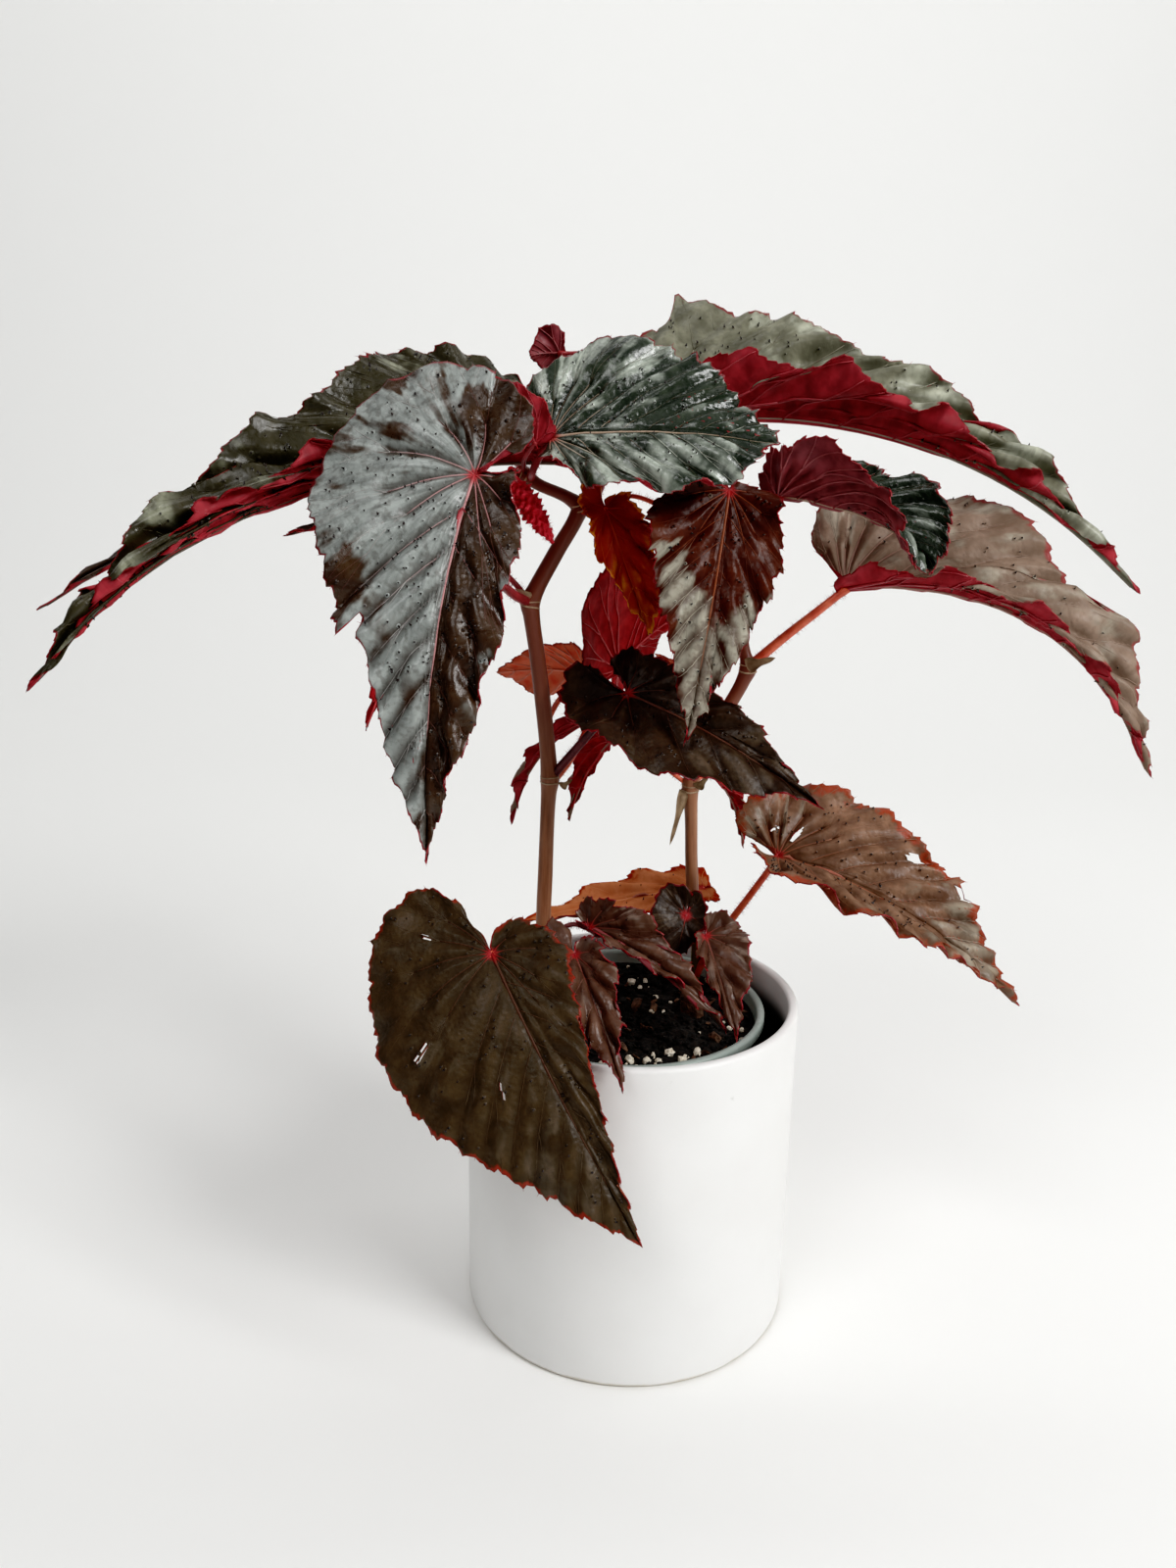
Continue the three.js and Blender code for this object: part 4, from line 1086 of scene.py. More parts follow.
def add_stipules(pile, name):
    for start, way, length, width in STIPULES[name]:
        way = unit(np.array(way, float))
        side, inward = sides_of(way, [0.1, -1, 0.15])
        out = -inward
        rows = []
        steps = 10
        for i in range(steps + 1):
            u = i / steps
            centre = np.array(start, float) + way * length * u + out * 1.6 * math.sin(2.6 * u)
            spread = width / 2 * (1 - u) ** 0.7 * (1 + 0.2 * math.sin(9 * u))
            for v in (-1, -0.4, 0.4, 1):
                rows.append(centre + side * spread * v - out * 0.9 * abs(v) ** 2 * (1 - u))
        points = np.array(rows)
        thin = out * 0.12
        count = len(points)
        corners = [4 * i + k for i in range(steps) for k in range(3)]
        top = [(a, a + 1, a + 5, a + 4) for a in corners]
        low = [tuple(count + v for v in reversed(face)) for face in top]
        rim = [4 * i for i in range(steps + 1)] + [4 * steps + k for k in (1, 2, 3)]
        rim += [4 * i + 3 for i in range(steps - 1, -1, -1)] + [2, 1]
        walls = [(b, a, count + a, count + b) for a, b in zip(rim, rim[1:] + rim[:1])]
        pile.add(np.vstack([points + thin, points - thin]), top + low + walls, "stipule")


def bud_piece():
    """The crinkled leaf bud: a tapering form with deep folds and hairs."""
    draw = np.random.default_rng(BUD_DRAW)
    route = smooth_route(BUD, BUD_STEPS)
    line, radii = route[:, :3], route[:, 3]
    sides = BUD_SIDES
    points, faces = tube(line, np.ones(len(line)), sides)
    ring = np.repeat(line, sides, 0)
    way = points - ring
    turn = np.tile(np.arange(sides) / sides * 2 * np.pi, len(line))
    along = np.repeat(reach_of(line), sides)
    body = np.repeat(step(reach_of(line), 16, 22), sides)
    fold = draw.uniform(-0.07, 0.07, len(turn))
    for height, around, onward in ((0.22, 3, 0.9), (0.2, 7, -1.7), (0.16, 0, 2.6), (0.12, 11, 3.1)):
        fold += height * np.sin(around * turn + onward * along)
    points = ring + way * (np.repeat(radii, sides) * (1 + body * fold))[:, None]
    pile = Pile()
    pile.add(points, faces, "bud")
    hairs_on(pile, line[30:-2], radii[30:-2], BUD_HAIR_COUNT, BUD_HAIR, "hair_bright", draw)
    dress(pile, "leaf_bud")


def lathe(profile, sides, centre=(0, 0)):
    """Points and faces of a profile of (radius, height) turned round a vertical axis; ends on the axis."""
    turn = np.linspace(0, 2 * np.pi, sides, endpoint=False)
    points = [(centre[0], centre[1], profile[0][1])]
    for radius, height in profile[1:-1]:
        ring = [(centre[0] + radius * math.cos(a), centre[1] + radius * math.sin(a)) for a in turn]
        points += [(x, y, height) for x, y in ring]
    points.append((centre[0], centre[1], profile[-1][1]))
    rows = len(profile) - 2
    faces = [(0, 1 + (k + 1) % sides, 1 + k) for k in range(sides)]
    faces += ring_faces(rows, sides, 1)
    last = 1 + (rows - 1) * sides
    faces += [(last + k, last + (k + 1) % sides, last + sides) for k in range(sides)]
    return np.array(points), faces


def arc(centre, radius, start, end, steps):
    """Profile points on a round corner, between two angles in degrees."""
    angles = np.radians(np.linspace(start, end, steps))
    return [(centre[0] + radius * math.cos(a), centre[1] + radius * math.sin(a)) for a in angles]


def turned_piece(node, skin, profile, sides, centre=(0, 0)):
    points, faces = lathe(profile, sides, centre)
    pile = Pile()
    pile.add(points, faces, skin)
    dress(pile, node)


def pot_piece():
    inner = POT_RADIUS - POT_WALL
    rim = POT_RIM_ROUND
    foot = POT_FOOT_ROUND
    profile = [(0, 0.6), (POT_RADIUS - 9, 0.6), (POT_RADIUS - 8, 0)]
    profile += arc((POT_RADIUS - foot, foot), foot, -90, 0, 7)
    profile += [(POT_RADIUS, z) for z in range(12, POT_HEIGHT - 4, 12)]
    profile += arc((POT_RADIUS - rim, POT_HEIGHT - rim), rim, 0, 90, 8)
    profile += arc((inner + rim, POT_HEIGHT - rim), rim, 90, 180, 8)
    profile += [(inner, z) for z in range(POT_HEIGHT - 10, POT_FLOOR + 4, -16)]
    profile += arc((inner - 3, POT_FLOOR + 3), 3, 0, -90, 6)
    profile += [(0, POT_FLOOR)]
    turned_piece("cover_pot", "pot", profile, POT_SIDES)


def liner_piece():
    low = POT_FLOOR + 0.3
    lip = LINER_LIP_RADIUS
    wall = lip - LINER_LIP_WIDTH
    profile = [(0, low), (LINER_FOOT_RADIUS - 1, low), (LINER_FOOT_RADIUS, low + 1)]
    profile += [(wall, LINER_TOP - 5.2), (lip - 0.4, LINER_TOP - 4.8), (lip, LINER_TOP - 4.2)]
    profile += arc((lip - 1.2, LINER_TOP - 1.2), 1.2, 0, 90, 6)
    profile += [(lip - 3, LINER_TOP - 0.1), (wall - LINER_WALL, LINER_TOP - 1.6)]
    profile += [(LINER_FOOT_RADIUS - LINER_WALL, low + LINER_WALL), (0, low + LINER_WALL)]
    turned_piece("liner_pot", "liner", profile, LINER_SIDES, LINER_CENTRE)


def lump(draw, size, rough):
    """A small uneven grain: a cube's corners pushed out to a ball, with its faces cut once."""
    base = [(x, y, z) for x in (-1, 0, 1) for y in (-1, 0, 1) for z in (-1, 0, 1) if (x, y, z) != (0, 0, 0)]
    index = {corner: i for i, corner in enumerate(base)}
    points = unit(np.array(base, float)) * (1 + draw.uniform(-rough, rough, (26, 1)))
    points = points * np.asarray(size) * draw.uniform(0.75, 1.2, 3)
    faces = []
    for axis in range(3):
        for way in (-1, 1):
            for u in (-1, 0):
                for v in (-1, 0):
                    loop = []
                    for du, dv in ((0, 0), (1, 0), (1, 1), (0, 1)):
                        corner = [u + du, v + dv]
                        corner.insert(axis, way)
                        loop.append(index[tuple(corner)])
                    flip = way * (1 if axis != 1 else -1)
                    faces.append(tuple(loop if flip > 0 else loop[::-1]))
    spin = unit(draw.normal(0, 1, 3))
    side = unit(np.cross(spin, [0.2, 0.5, 0.8]))
    turn = np.stack([spin, side, np.cross(spin, side)])
    return points @ turn, faces


def soil_edge(z):
    """The soil's radius at a height, just inside the liner."""
    rise = LINER_TOP - 1.9 - POT_FLOOR - LINER_WALL
    slope = (LINER_LIP_RADIUS - LINER_LIP_WIDTH - LINER_FOOT_RADIUS) / rise
    return LINER_FOOT_RADIUS - LINER_WALL - 0.5 + slope * (z - POT_FLOOR - LINER_WALL)


# How many crumbs, specks of grit and chips of bark lie at random on the soil.
CRUMBS = 900
SPECKS = 70
CHIPS = 40

# Grit that the photograph shows in the soil, as x, y and size, and bark, as its place and its three sizes.
PERLITE = [
    (1, 34, 2.6), (8, 36, 1.8), (12, 18, 1.6), (9, 2, 1.4), (5, 30, 1.5), (44, -12, 1.7), (49, -12, 1.5),
    (15, -38, 2.6), (27, -37, 2.4), (48, -22, 1.6), (-2, -44, 2.4), (5, -46, 1.9), (10, -44, 2.1),
    (20, -45, 2.7), (33, -42, 2.1), (39, -38, 2.3), (43, -34, 1.8), (-8, -46, 2.2), (1, -50, 2.0),
    (13, -49, 2.3), (25, -46, 1.6), (30, -47, 2.0), (8, -39, 1.5), (-14, -48, 1.8), (36, -44, 1.4),
    (22, -40, 1.5), (45, -29, 1.9),
]
BARK = [((27, 3), (11, 7, 3.2)), ((-12, -30), (6, 4, 2)), ((2, 8), (5, 3.5, 2)), ((36, -24), (5, 3, 2))]


def soil_piece():
    draw = np.random.default_rng(SOIL_DRAW)
    low = POT_FLOOR + 0.6 + LINER_WALL
    edge = soil_edge(SOIL_LEVEL - 1)
    bumps = [(draw.uniform(0, np.pi), draw.uniform(4, 18), draw.uniform(0, 6)) for _ in range(9)]

    def height(x, y):
        total = 0
        for angle, size, phase in bumps:
            total += np.sin((math.cos(angle) * x + math.sin(angle) * y) * 2 * np.pi / size + phase) / 9
        far = np.hypot(x, y) / edge
        return SOIL_LEVEL + 0.3 + 2.2 * total - 1.2 * far**4

    profile = [(0, low), (soil_edge(low), low), (edge, SOIL_LEVEL - 1)]
    profile += [(edge * (1 - i / SOIL_RINGS), SOIL_LEVEL) for i in range(1, SOIL_RINGS)]
    profile += [(0, SOIL_LEVEL)]
    points, faces = lathe(profile, SOIL_SIDES)
    top = points[:, 2] > SOIL_LEVEL - 0.5
    points[top, 2] = height(points[top, 0], points[top, 1]) + draw.uniform(-0.35, 0.35, top.sum())
    points[:, :2] += LINER_CENTRE
    pile = Pile()
    pile.add(points, faces, "soil")

    def scatter(x, y, size, rough, skin, sink=0.35):
        grain, grain_faces = lump(draw, size, rough)
        level = height(x - LINER_CENTRE[0], y - LINER_CENTRE[1])
        z = level + (1 - 2 * sink) * np.min(size) * 0.6
        pile.add(grain + (x, y, z), grain_faces, skin, flat=skin != "soil")

    def spot(reach):
        angle = draw.uniform(0, 2 * np.pi)
        far = (edge - 2.5) * math.sqrt(draw.uniform(0, 1)) * reach
        return LINER_CENTRE[0] + far * math.cos(angle), LINER_CENTRE[1] + far * math.sin(angle)

    for _ in range(CRUMBS):
        size = draw.uniform(0.5, 1.7)
        scatter(*spot(1), (size, size * 0.8, size * 0.7), 0.35, "soil")
    for _ in range(SPECKS):
        size = draw.uniform(0.4, 1.1)
        scatter(*spot(1), (size, size, size), 0.25, "perlite")
    for _ in range(CHIPS):
        size = draw.uniform(1, 2.4)
        scatter(*spot(1), (size * 1.6, size, size * 0.5), 0.25, "bark")
    for x, y, size in PERLITE:
        scatter(x, y, (size, size * 0.85, size * 0.8), 0.22, "perlite", 0.2)
    for (x, y), size in BARK:
        scatter(x, y, size, 0.2, "bark", 0.3)
    dress(pile, "soil")


# Materials.

MATERIALS = {}


class Nodes:
    """Short calls for the few kinds of shader node that the materials use."""

    def __init__(self, name):
        self.material = bpy.data.materials.new(name)
        self.material.use_nodes = True
        self.tree = self.material.node_tree
        self.shader = self.tree.nodes["Principled BSDF"]
        MATERIALS[name] = self.material

    def new(self, kind, **inputs):
        node = self.tree.nodes.new(kind)
        for key, value in inputs.items():
            self.put(node.inputs[key.replace("_", " ")], value)
        return node

    def put(self, socket, value):
        if isinstance(value, bpy.types.NodeSocket):
            self.tree.links.new(value, socket)
        elif isinstance(value, tuple) and len(value) == 3 and socket.type == "RGBA":
            socket.default_value = (*value, 1)
        else:
            socket.default_value = value

    def attribute(self, name):
        node = self.new("ShaderNodeAttribute")
        node.attribute_name = name
        return node.outputs["Vector"]

    def on_object(self):
        return self.new("ShaderNodeTexCoord").outputs["Object"]

    def split(self, vector):
        return self.new("ShaderNodeSeparateXYZ", Vector=vector).outputs

    def joined(self, x, y):
        return self.new("ShaderNodeCombineXYZ", X=x, Y=y).outputs[0]

    def length(self, vector):
        """How far a place is from the middle, with its third part left out."""
        x, y = self.split(vector)[0:2]
        node = self.new("ShaderNodeVectorMath", Vector=self.joined(x, y))
        node.operation = "LENGTH"
        return node.outputs["Value"]

    def noise(self, vector, scale, detail=3.0, distortion=0.0):
        values = {"Vector": vector, "Scale": scale, "Detail": detail, "Distortion": distortion}
        return self.new("ShaderNodeTexNoise", **values).outputs["Fac"]

    def cells(self, vector, scale):
        node = self.new("ShaderNodeTexVoronoi", Vector=vector, Scale=scale)
        node.feature = "SMOOTH_F1"
        return node.outputs["Distance"]

    def ramp(self, value, low, high, start=0.0, end=1.0):
        """Value between low and high, brought smoothly to between start and end."""
        values = {"Value": value, "From_Min": low, "From_Max": high, "To_Min": start, "To_Max": end}
        node = self.new("ShaderNodeMapRange", **values)
        node.interpolation_type = "SMOOTHSTEP"
        return node.outputs["Result"]

    def math(self, kind, a, b=0.0):
        node = self.tree.nodes.new("ShaderNodeMath")
        node.operation = kind
        self.put(node.inputs[0], a)
        self.put(node.inputs[1], b)
        return node.outputs[0]

    def mix(self, factor, a, b):
        node = self.tree.nodes.new("ShaderNodeMix")
        node.data_type = "RGBA"
        self.put(node.inputs[0], factor)
        self.put(node.inputs[6], a)
        self.put(node.inputs[7], b)
        return node.outputs[2]

    def tint(self, colour, other, value, low, high, start, end):
        """The colour with more or less of another, as the value goes from low to high."""
        return self.mix(self.ramp(value, low, high, start, end), colour, other)

    def mottled(self, place, scale, middle):
        return self.ramp(self.noise(place, scale), 0.3, 0.7, middle - 0.05, middle + 0.08)

    def bump(self, height, distance, strength=1.0):
        node = self.new("ShaderNodeBump", Height=height, Distance=distance, Strength=strength)
        return node.outputs["Normal"]

    def finish(self, colour, roughness, normal=None, glow=0.0, **rest):
        self.put(self.shader.inputs["Base Color"], colour)
        self.put(self.shader.inputs["Roughness"], roughness)
        if normal is not None:
            self.put(self.shader.inputs["Normal"], normal)
        for key, value in rest.items():
            self.put(self.shader.inputs[key.replace("_", " ")], value)
        if glow:
            through = self.new("ShaderNodeBsdfTranslucent", Color=colour)
            blend = self.new("ShaderNodeMixShader", Fac=glow)
            self.tree.links.new(self.shader.outputs[0], blend.inputs[1])
            self.tree.links.new(through.outputs[0], blend.inputs[2])
            self.tree.links.new(blend.outputs[0], self.tree.nodes["Material Output"].inputs["Surface"])


EDGE_RED = (0.2, 0.01, 0.016)
EDGE_ORANGE = (0.42, 0.04, 0.012)
EDGE_YELLOW = (0.8, 0.33, 0.05)
JOINT_RED = (0.38, 0.025, 0.03)

# The upper skins: the colour in the shade, the lighter one, the vein, the colour of the silvery patches,
# which are partly the leaf's own markings and partly painted sheen, the roughness, the gloss, how much
# light comes through, how wide the coloured margin is, and the margin's colour.
SKINS = {
    "dark": dict(
        deep=(0.03, 0.0135, 0.006), light=(0.07, 0.038, 0.019), vein=(0.54, 0.26, 0.26),
        markings_and_sheen=(0.32, 0.345, 0.325), rough=0.31, gloss=0.5, glow=0.05, rim=0.8, edge=EDGE_RED,
    ),
    "green": dict(
        deep=(0.03, 0.026, 0.013), light=(0.064, 0.056, 0.031), vein=(0.17, 0.13, 0.1),
        markings_and_sheen=(0.26, 0.265, 0.19), rough=0.3, gloss=0.4, glow=0.05, rim=0.8, edge=EDGE_RED,
    ),
    "grey_green": dict(
        deep=(0.115, 0.112, 0.075), light=(0.29, 0.285, 0.205), vein=(0.36, 0.3, 0.24),
        markings_and_sheen=(0.48, 0.49, 0.385), rough=0.36, gloss=0.35, glow=0.05, rim=1.2, edge=EDGE_RED,
    ),
    "wet": dict(
        deep=(0.018, 0.025, 0.017), light=(0.06, 0.075, 0.05), vein=(0.42, 0.3, 0.22),
        markings_and_sheen=(0.4, 0.44, 0.375), rough=0.22, gloss=0.6, glow=0.04, rim=0.8, edge=EDGE_RED,
    ),
    "brown": dict(
        deep=(0.2, 0.135, 0.096), light=(0.345, 0.25, 0.19), vein=(0.36, 0.2, 0.165),
        markings_and_sheen=(0.4, 0.345, 0.27), rough=0.45, gloss=0.2, glow=0.08, rim=2.2, edge=(0.3, 0.05, 0.05),
    ),
    "reddish": dict(
        deep=(0.045, 0.0075, 0.003), light=(0.105, 0.024, 0.008), vein=(0.22, 0.06, 0.022),
        markings_and_sheen=(0.4, 0.375, 0.3), rough=0.38, gloss=0.24, glow=0.1, rim=0.9, edge=EDGE_RED,
    ),
    "orange": dict(
        deep=(0.3, 0.02, 0.004), light=(0.42, 0.07, 0.01), vein=(0.34, 0.05, 0.008),
        markings_and_sheen=(0.62, 0.23, 0.03), rough=0.4, gloss=0.2, glow=0.45, rim=1.6, edge=EDGE_YELLOW,
    ),
    "black": dict(
        deep=(0.022, 0.011, 0.006), light=(0.058, 0.035, 0.019), vein=(0.1, 0.038, 0.024),
        markings_and_sheen=(0.095, 0.066, 0.044), rough=0.38, gloss=0.25, glow=0.05, rim=0.8, edge=EDGE_RED,
    ),
    "rusty": dict(
        deep=(0.13, 0.065, 0.038), light=(0.33, 0.19, 0.12), vein=(0.3, 0.11, 0.06),
        markings_and_sheen=(0.36, 0.3, 0.225), rough=0.38, gloss=0.28, glow=0.12, rim=5.0, edge=(0.34, 0.05, 0.018),
    ),
    "ochre": dict(
        deep=(0.54, 0.19, 0.085), light=(0.7, 0.3, 0.15), vein=(0.62, 0.25, 0.12),
        markings_and_sheen=(0.7, 0.3, 0.15), rough=0.7, gloss=0.0, glow=0.2, rim=5.0, edge=EDGE_ORANGE,
    ),
    "olive": dict(
        deep=(0.036, 0.022, 0.009), light=(0.082, 0.052, 0.026), vein=(0.08, 0.032, 0.018),
        markings_and_sheen=(0.1, 0.073, 0.047), rough=0.42, gloss=0.28, glow=0.06, rim=1.8, edge=(0.27, 0.026, 0.012),
    ),
    "cocoa": dict(
        deep=(0.075, 0.034, 0.022), light=(0.2, 0.11, 0.075), vein=(0.24, 0.09, 0.07),
        markings_and_sheen=(0.3, 0.22, 0.175), rough=0.32, gloss=0.4, glow=0.08, rim=0.8, edge=EDGE_RED,
    ),
    "crimson": dict(
        deep=(0.3, 0.02, 0.026), light=(0.5, 0.04, 0.05), vein=(0.5, 0.07, 0.08),
        markings_and_sheen=(0.4, 0.08, 0.09), rough=0.4, gloss=0.25, glow=0.25, rim=1.2, edge=EDGE_RED,
    ),
}

# The lower skins: the colour in the shade, the lighter one, the rib, the roughness and the light through.
BACKS = {
    "crimson": ((0.24, 0.028, 0.036), (0.46, 0.052, 0.066), (0.4, 0.048, 0.06), 0.42, 0.12),
    "maroon": ((0.13, 0.028, 0.034), (0.26, 0.062, 0.07), (0.3, 0.075, 0.08), 0.4, 0.08),
    "glowing": ((0.42, 0.022, 0.03), (0.66, 0.05, 0.058), (0.5, 0.045, 0.05), 0.5, 0.5),
    "ember": ((0.9, 0.14, 0.075), (0.95, 0.27, 0.16), (0.85, 0.3, 0.2), 0.5, 0.35),
    "orange": ((0.4, 0.05, 0.008), (0.6, 0.12, 0.015), (0.45, 0.1, 0.02), 0.4, 0.5),
    "rust": ((0.26, 0.06, 0.035), (0.44, 0.13, 0.075), (0.45, 0.15, 0.1), 0.5, 0.3),
}

# Plain skins: the colour in the shade, the lighter one, the roughness, the fineness of the mottling per
# metre, the height of the relief in metres, and the light through.
PLAIN_SKINS = {
    "leaf_edge": ((0.16, 0.006, 0.012), (0.4, 0.02, 0.03), 0.45, 400.0, 0.0001, 0.2),
    "bristle": ((0.006, 0.003, 0.003), (0.02, 0.009, 0.008), 0.3, 600.0, 0.0001, 0),
    "hair_red": ((0.3, 0.03, 0.04), (0.5, 0.1, 0.1), 0.5, 500.0, 0.0001, 0.3),
    "hair_bright": ((0.6, 0.03, 0.05), (0.75, 0.12, 0.12), 0.5, 500.0, 0.0001, 0.35),
    "stalk_red": ((0.2, 0.02, 0.024), (0.34, 0.04, 0.045), 0.42, 120.0, 0.0002, 0),
    "stalk_bright": ((0.6, 0.085, 0.045), (0.8, 0.19, 0.1), 0.42, 120.0, 0.0002, 0),
    "stalk_purple": ((0.07, 0.016, 0.022), (0.14, 0.04, 0.045), 0.42, 120.0, 0.0002, 0),
    "bud": ((0.6, 0.015, 0.035), (0.85, 0.06, 0.09), 0.55, 250.0, 0.0006, 0.2),
    "scar": ((0.3, 0.2, 0.12), (0.45, 0.33, 0.22), 0.6, 300.0, 0.0002, 0),
    "stipule": ((0.25, 0.16, 0.09), (0.42, 0.3, 0.18), 0.55, 260.0, 0.0003, 0.3),
    "liner": ((0.4, 0.47, 0.43), (0.5, 0.57, 0.53), 0.28, 40.0, 0.0001, 0.25),
    "perlite": ((0.56, 0.48, 0.36), (0.86, 0.8, 0.68), 0.8, 700.0, 0.0006, 0),
    "bark": ((0.05, 0.025, 0.015), (0.14, 0.075, 0.045), 0.8, 240.0, 0.0012, 0),
}


def shade(colour, share):
    return tuple(share * v for v in colour)


def blade_colour(n, look, place, edge_gap, tone_and_shade_by_veins):
    """The blade's colour: mottled, with silvery patches that run outward from the joint; the patches are
    partly the leaf's own markings and partly painted sheen.
    """
    along, out, markings_and_sheen = n.split(place)[0:3]
    angle = n.math("ARCTAN2", out, along)
    polar = n.joined(n.math("MULTIPLY", angle, 7.0), n.math("MULTIPLY", n.length(place), 0.04))
    rays = n.ramp(n.noise(polar, 1.0, 3.0), 0.3, 0.7, -0.44, 0.44)
    rays = n.math("MULTIPLY", rays, n.ramp(edge_gap, 1.0, 24.0, 1.0, 0.55))
    colour = n.mix(n.ramp(n.noise(place, 0.1, 3.0, 0.4), 0.25, 0.8), look["deep"], look["light"])
    patch = n.math("ADD", markings_and_sheen, n.ramp(n.noise(place, 0.06, 3.0, 0.4), 0.3, 0.7, -0.22, 0.22))
    patch = n.math("ADD", n.math("ADD", patch, rays), tone_and_shade_by_veins)
    # Painted shading inside the silvery patches: a darker and a lighter copy of their colour, in streaks
    # along the rays.
    sheen = n.ramp(n.noise(polar, 1.9, 5.0, 0.5), 0.3, 0.68)
    bright = n.mix(sheen, shade(look["markings_and_sheen"], 0.62), shade(look["markings_and_sheen"], 1.12))
    return n.mix(n.ramp(patch, 0.34, 0.74), colour, bright)


def top_skin(name, look):
    n = Nodes("top_" + name)
    facts = n.split(n.attribute("leaf"))
    place = n.attribute("flat")
    fine = n.noise(place, 0.2, 4.0)
    # Less of the silvery colour beside the veins: partly the leaf's own darker tone there, partly painted
    # shade.
    colour = blade_colour(n, look, place, facts[1], n.ramp(facts[0], 0.3, 3.0, -0.16, 0.04))
    # Painted shade in the furrows along the veins, towards the deep colour, where the leaf is also a little
    # darker of its own.
    colour = n.tint(colour, look["deep"], facts[0], 0.2, 3.4, 0.64, 0.0)
    colour = n.tint(colour, look["deep"], n.noise(place, 0.42, 5.0), 0.46, 0.66, 0.0, 0.36)
    red = look["rim"]
    rim = n.math("ADD", facts[1], n.ramp(fine, 0.35, 0.65, -0.5 * red, 0.5 * red))
    colour = n.tint(colour, look["edge"], rim, 0.1 * red, red, 0.9, 0.0)
    colour = n.tint(colour, JOINT_RED, facts[2], 0.8, 3.5, 0.95, 0.0)
    rough = n.mottled(place, 0.5, look["rough"])
    grain = n.math("ADD", n.cells(place, 0.6), n.math("MULTIPLY", n.noise(place, 2.2, 3.0), 0.35))
    n.finish(colour, rough, n.bump(grain, 0.0005, 0.42), look["glow"], Specular_IOR_Level=look["gloss"])


def vein_skin(name, look):
    """Red at the joint, then pale, and in the blade's colour, painted sheen included, farther out and on
    the finer veins.
    """
    n = Nodes("vein_" + name)
    facts = n.split(n.attribute("leaf"))
    own = blade_colour(n, look, n.attribute("flat"), 12.0, 0.0)
    main = n.ramp(facts[0], 0.3, 0.95, 0.0, 0.5)
    others = n.ramp(facts[0], 0.04, 0.5, 0.3, 0.9)
    fade = n.mix(n.ramp(facts[2], 0.0, 1.0), main, others)
    fade = n.math("MAXIMUM", fade, n.ramp(facts[2], 1.0, 2.0, 0.0, 0.9))
    colour = n.mix(fade, look["vein"], own)
    colour = n.tint(colour, JOINT_RED, facts[1], 1.0, 6.0, 0.9, 0.0)
    n.finish(colour, look["rough"] + 0.1, None, Specular_IOR_Level=0.3)


def under_skin(name, deep, light, rib, roughness, glow):
    n = Nodes("under_" + name)
    facts = n.split(n.attribute("leaf"))
    place = n.attribute("flat")
    colour = n.mix(n.ramp(n.noise(place, 0.16, 4.0), 0.3, 0.7), deep, light)
    colour = n.tint(colour, rib, facts[0], 0.2, 2.2, 0.5, 0.0)
    colour = n.tint(colour, EDGE_RED, facts[1], 0.2, 1.6, 0.6, 0.0)
    rough = n.mottled(place, 0.4, roughness)
    grain = n.math("ADD", n.cells(place, 0.6), n.math("MULTIPLY", n.noise(place, 2.0), 0.3))
    n.finish(colour, rough, n.bump(grain, 0.0005, 0.3), glow, Specular_IOR_Level=0.2)


def plain_skin(name, deep, light, roughness, scale, relief, glow):
    """A fleshy or woody surface with a mottled colour; scale is per metre of the object."""
    n = Nodes(name)
    place = n.on_object()
    spots = n.noise(place, scale, 5.0)
    colour = n.mix(n.ramp(spots, 0.32, 0.68), deep, light)
    rough = n.ramp(n.noise(place, scale * 1.7), 0.3, 0.7, roughness - 0.06, roughness + 0.08)
    n.finish(colour, rough, n.bump(n.noise(place, scale * 2.5, 4.0), relief), glow)


def stem_skin():
    """Brown-purple cane with paler streaks, greener where it leaves the soil."""
    n = Nodes("stem")
    facts = n.split(n.attribute("leaf"))
    around = n.math("MULTIPLY", facts[1], 14.0)
    lines = n.noise(n.joined(n.math("MULTIPLY", facts[0], 0.05), around), 0.8, 4.0)
    place = n.attribute("flat")
    colour = n.mix(n.ramp(lines, 0.25, 0.75), (0.215, 0.09, 0.048), (0.38, 0.18, 0.1))
    colour = n.tint(colour, (0.36, 0.18, 0.1), n.noise(place, 0.06), 0.4, 0.7, 0.0, 0.6)
    # Darker and redder above 215 mm; the lighter lower cane is painted light that offsets the shade the
    # leaves above cast on it.
    colour = n.tint(colour, (0.15, 0.042, 0.03), facts[2], 215.0, 300.0, 0.0, 0.85)
    colour = n.tint(colour, (0.17, 0.16, 0.06), facts[2], 150.0, 185.0, 0.8, 0.0)
    n.finish(colour, 0.42, n.bump(lines, 0.0002, 0.4), Specular_IOR_Level=0.35)


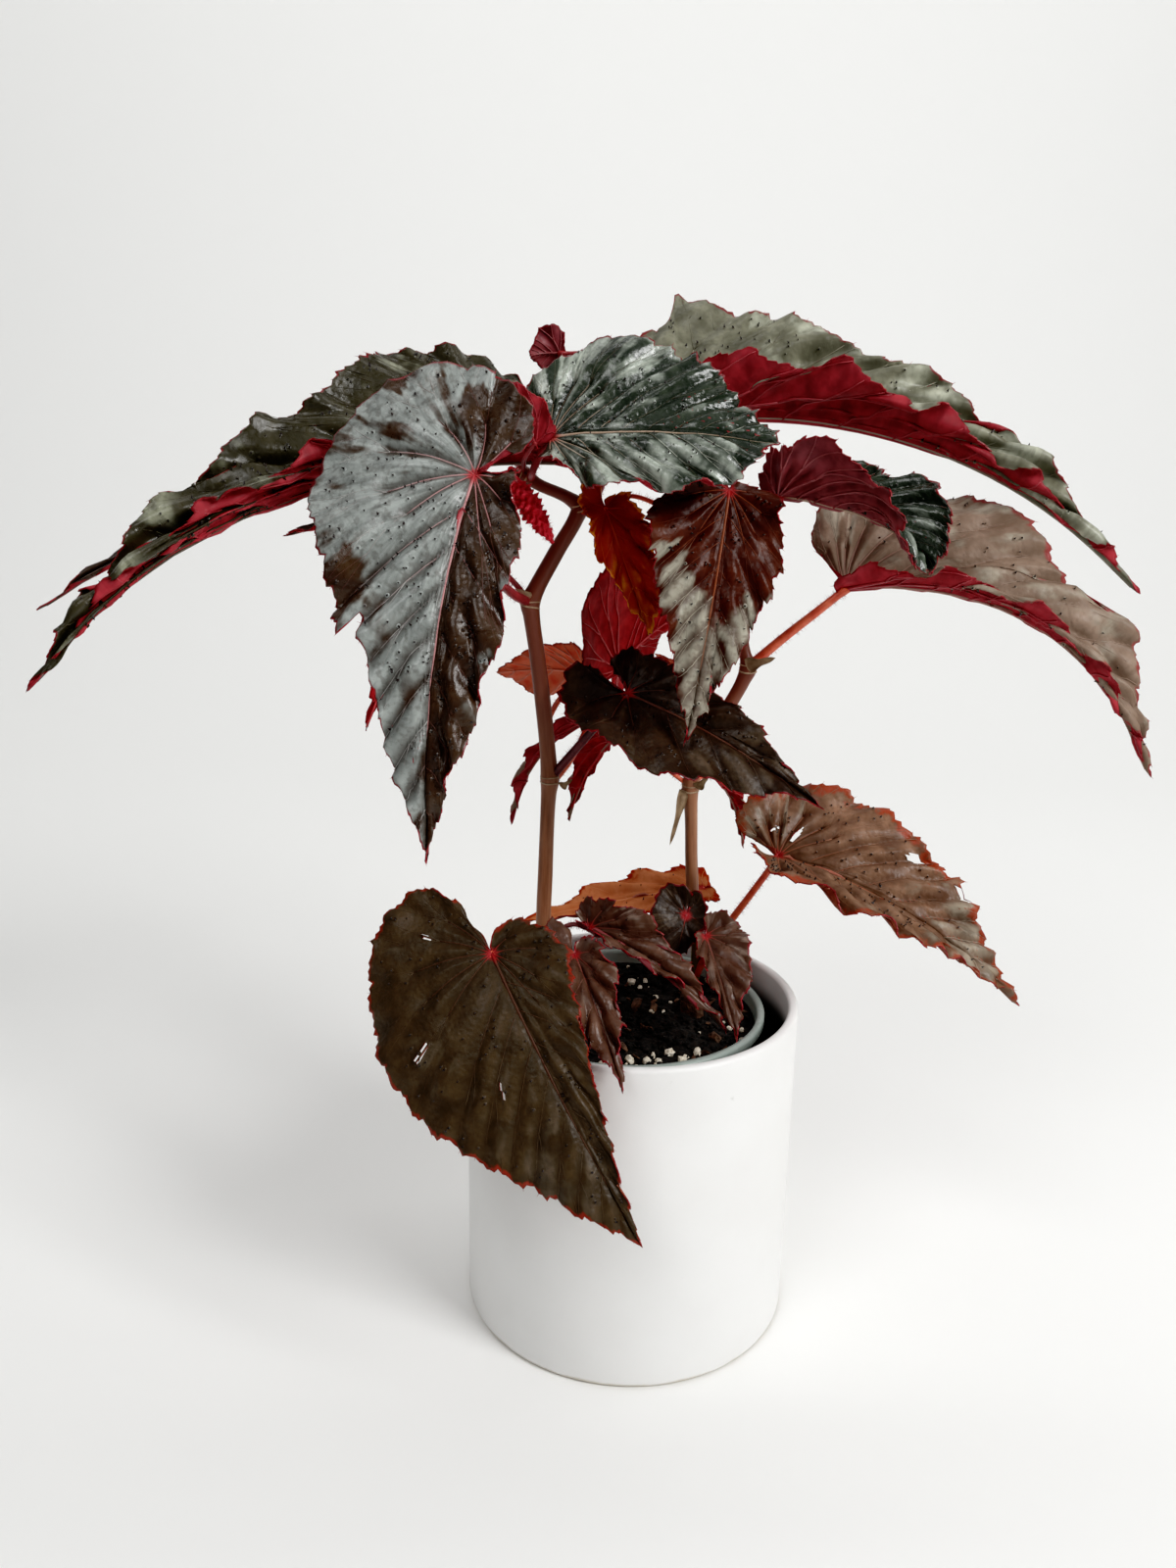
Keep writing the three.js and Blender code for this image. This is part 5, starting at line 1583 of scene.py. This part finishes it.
def pot_skin():
    """Smooth white glaze with faint unevenness, a bare cream line round the foot, and the inside painted
    dark as shade.
    """
    n = Nodes("pot")
    place = n.on_object()
    height = n.split(place)[2]
    cloud = n.noise(place, 18.0, 4.0)
    colour = n.mix(n.ramp(cloud, 0.3, 0.7), (0.80, 0.795, 0.78), (0.83, 0.828, 0.815))
    wear = n.math("ADD", height, n.ramp(n.noise(place, 60.0), 0.3, 0.7, -0.0005, 0.0005))
    colour = n.tint(colour, (0.52, 0.46, 0.36), wear, 0.0008, 0.0026, 0.8, 0.0)
    marks = n.ramp(n.noise(place, 90.0, 6.0), 0.73, 0.78, 0.0, 0.35)
    colour = n.mix(marks, colour, (0.5, 0.49, 0.47))
    # Painted shade: within the bore and below the rim the glaze is painted nearly black, and the underside
    # of the base within that radius darkens too.
    bore = (POT_RADIUS - POT_WALL) * MM
    inside = n.ramp(n.length(place), bore + 0.0006, bore + 0.0016, 1.0, 0.0)
    inside = n.math("MULTIPLY", inside, n.ramp(height, 0.131, 0.142, 1.0, 0.0))
    colour = n.mix(inside, colour, (0.03, 0.028, 0.025))
    n.finish(colour, 0.48, n.bump(n.noise(place, 240.0, 3.0), 0.00012, 0.4), Specular_IOR_Level=0.4)


def soil_skin():
    n = Nodes("soil")
    place = n.on_object()
    crumbs = n.noise(place, 420.0, 6.0)
    colour = n.mix(n.ramp(crumbs, 0.35, 0.75), (0.003, 0.0022, 0.0018), (0.02, 0.014, 0.01))
    n.finish(colour, 0.9, n.bump(crumbs, 0.0016))


def make_materials():
    for name, look in SKINS.items():
        top_skin(name, look)
        vein_skin(name, look)
    for name, values in BACKS.items():
        under_skin(name, *values)
        rib = values[2]
        plain_skin("rib_" + name, shade(rib, 0.75), rib, 0.4, 300.0, 0.0001, 0)
    for name, values in PLAIN_SKINS.items():
        plain_skin(name, *values)
    stem_skin()
    pot_skin()
    soil_skin()


# The studio.


def backdrop():
    """A pale floor that curves up into the wall behind."""
    n = Nodes("backdrop")
    n.finish((0.86, 0.86, 0.845), 0.85)
    profile = [(-4.0, 0.0), (1.0, 0.0)]
    turn = np.linspace(0, np.pi / 2, 24)
    profile += [(1.0 + 1.4 * math.sin(a), 1.4 * (1 - math.cos(a))) for a in turn[1:]]
    profile += [(2.4, 5.0)]
    points = [(x, y, z) for y, z in profile for x in (-5.0, 5.0)]
    faces = [(2 * i, 2 * i + 1, 2 * i + 3, 2 * i + 2) for i in range(len(profile) - 1)]
    mesh = bpy.data.meshes.new("backdrop")
    mesh.from_pydata(points, [], faces)
    mesh.materials.append(MATERIALS["backdrop"])
    mesh.polygons.foreach_set("use_smooth", [True] * len(faces))
    put_in_scene("backdrop", mesh)


def area_light(name, place, aim, size, power):
    data = bpy.data.lights.new(name, "AREA")
    data.shape = "RECTANGLE"
    data.size, data.size_y = size
    data.energy = power
    light = put_in_scene(name, data)
    light.location = place
    way = np.array(aim, float) - np.array(place, float)
    flat = math.hypot(way[0], way[1])
    light.rotation_euler = (math.atan2(flat, -way[2]), 0, math.atan2(way[1], way[0]) - math.pi / 2)
    light.visible_camera = False


def studio():
    world = bpy.data.worlds.new("studio")
    world.use_nodes = True
    sky = world.node_tree.nodes["Background"]
    sky.inputs["Color"].default_value = (0.95, 0.96, 0.97, 1)
    sky.inputs["Strength"].default_value = 0.1
    bpy.context.scene.world = world
    area_light("key_right", (1.3, -1.05, 1.35), (0, 0, 0.2), (0.8, 0.8), 32)
    area_light("top_front", (-0.7, -1.1, 1.6), (-0.05, -0.05, 0.3), (0.8, 0.8), 10)
    area_light("overhead", (0.3, 0.4, 2.5), (0.2, 0.5, 0), (2.4, 2.0), 4.5)
    area_light("wall_wash", (0.5, 0.7, 2.2), (0.5, 2.4, 0.6), (7.5, 0.7), 54)
    set_grade()


def set_grade():
    """A plain display transform, with the deepest shades a little darker, as the photograph has them."""
    settings = bpy.context.scene.view_settings
    settings.view_transform = "Standard"
    settings.use_curve_mapping = True
    curve = settings.curve_mapping.curves[3]
    for x, y in ((0.02, 0.004), (0.05, 0.028), (0.12, 0.1), (0.3, 0.29)):
        curve.points.new(x, y)
    settings.curve_mapping.update()


def camera():
    data = bpy.data.cameras.new("camera")
    data.sensor_width = 36
    data.lens = CAMERA_LENS
    data.clip_end = 50
    view = put_in_scene("camera", data)
    view.location = [v * MM for v in CAMERA_PLACE]
    view.rotation_mode = "QUATERNION"
    tilt = math.radians(90 - CAMERA_DOWN) / 2
    roll = math.radians(CAMERA_ROLL) / 2
    view.rotation_quaternion = (
        math.cos(tilt) * math.cos(roll),
        math.sin(tilt) * math.cos(roll),
        -math.sin(tilt) * math.sin(roll),
        math.cos(tilt) * math.sin(roll),
    )
    bpy.context.scene.camera = view


camera()
make_materials()
pot_piece()
liner_piece()
soil_piece()
for number, (name, rows) in enumerate(STEMS.items()):
    stem_piece(name, rows, number)
for number, leaf in enumerate(LEAVES):
    leaf_piece({**PLAIN_LEAF, "right": leaf["left"], **leaf}, number)
bud_piece()
backdrop()
studio()
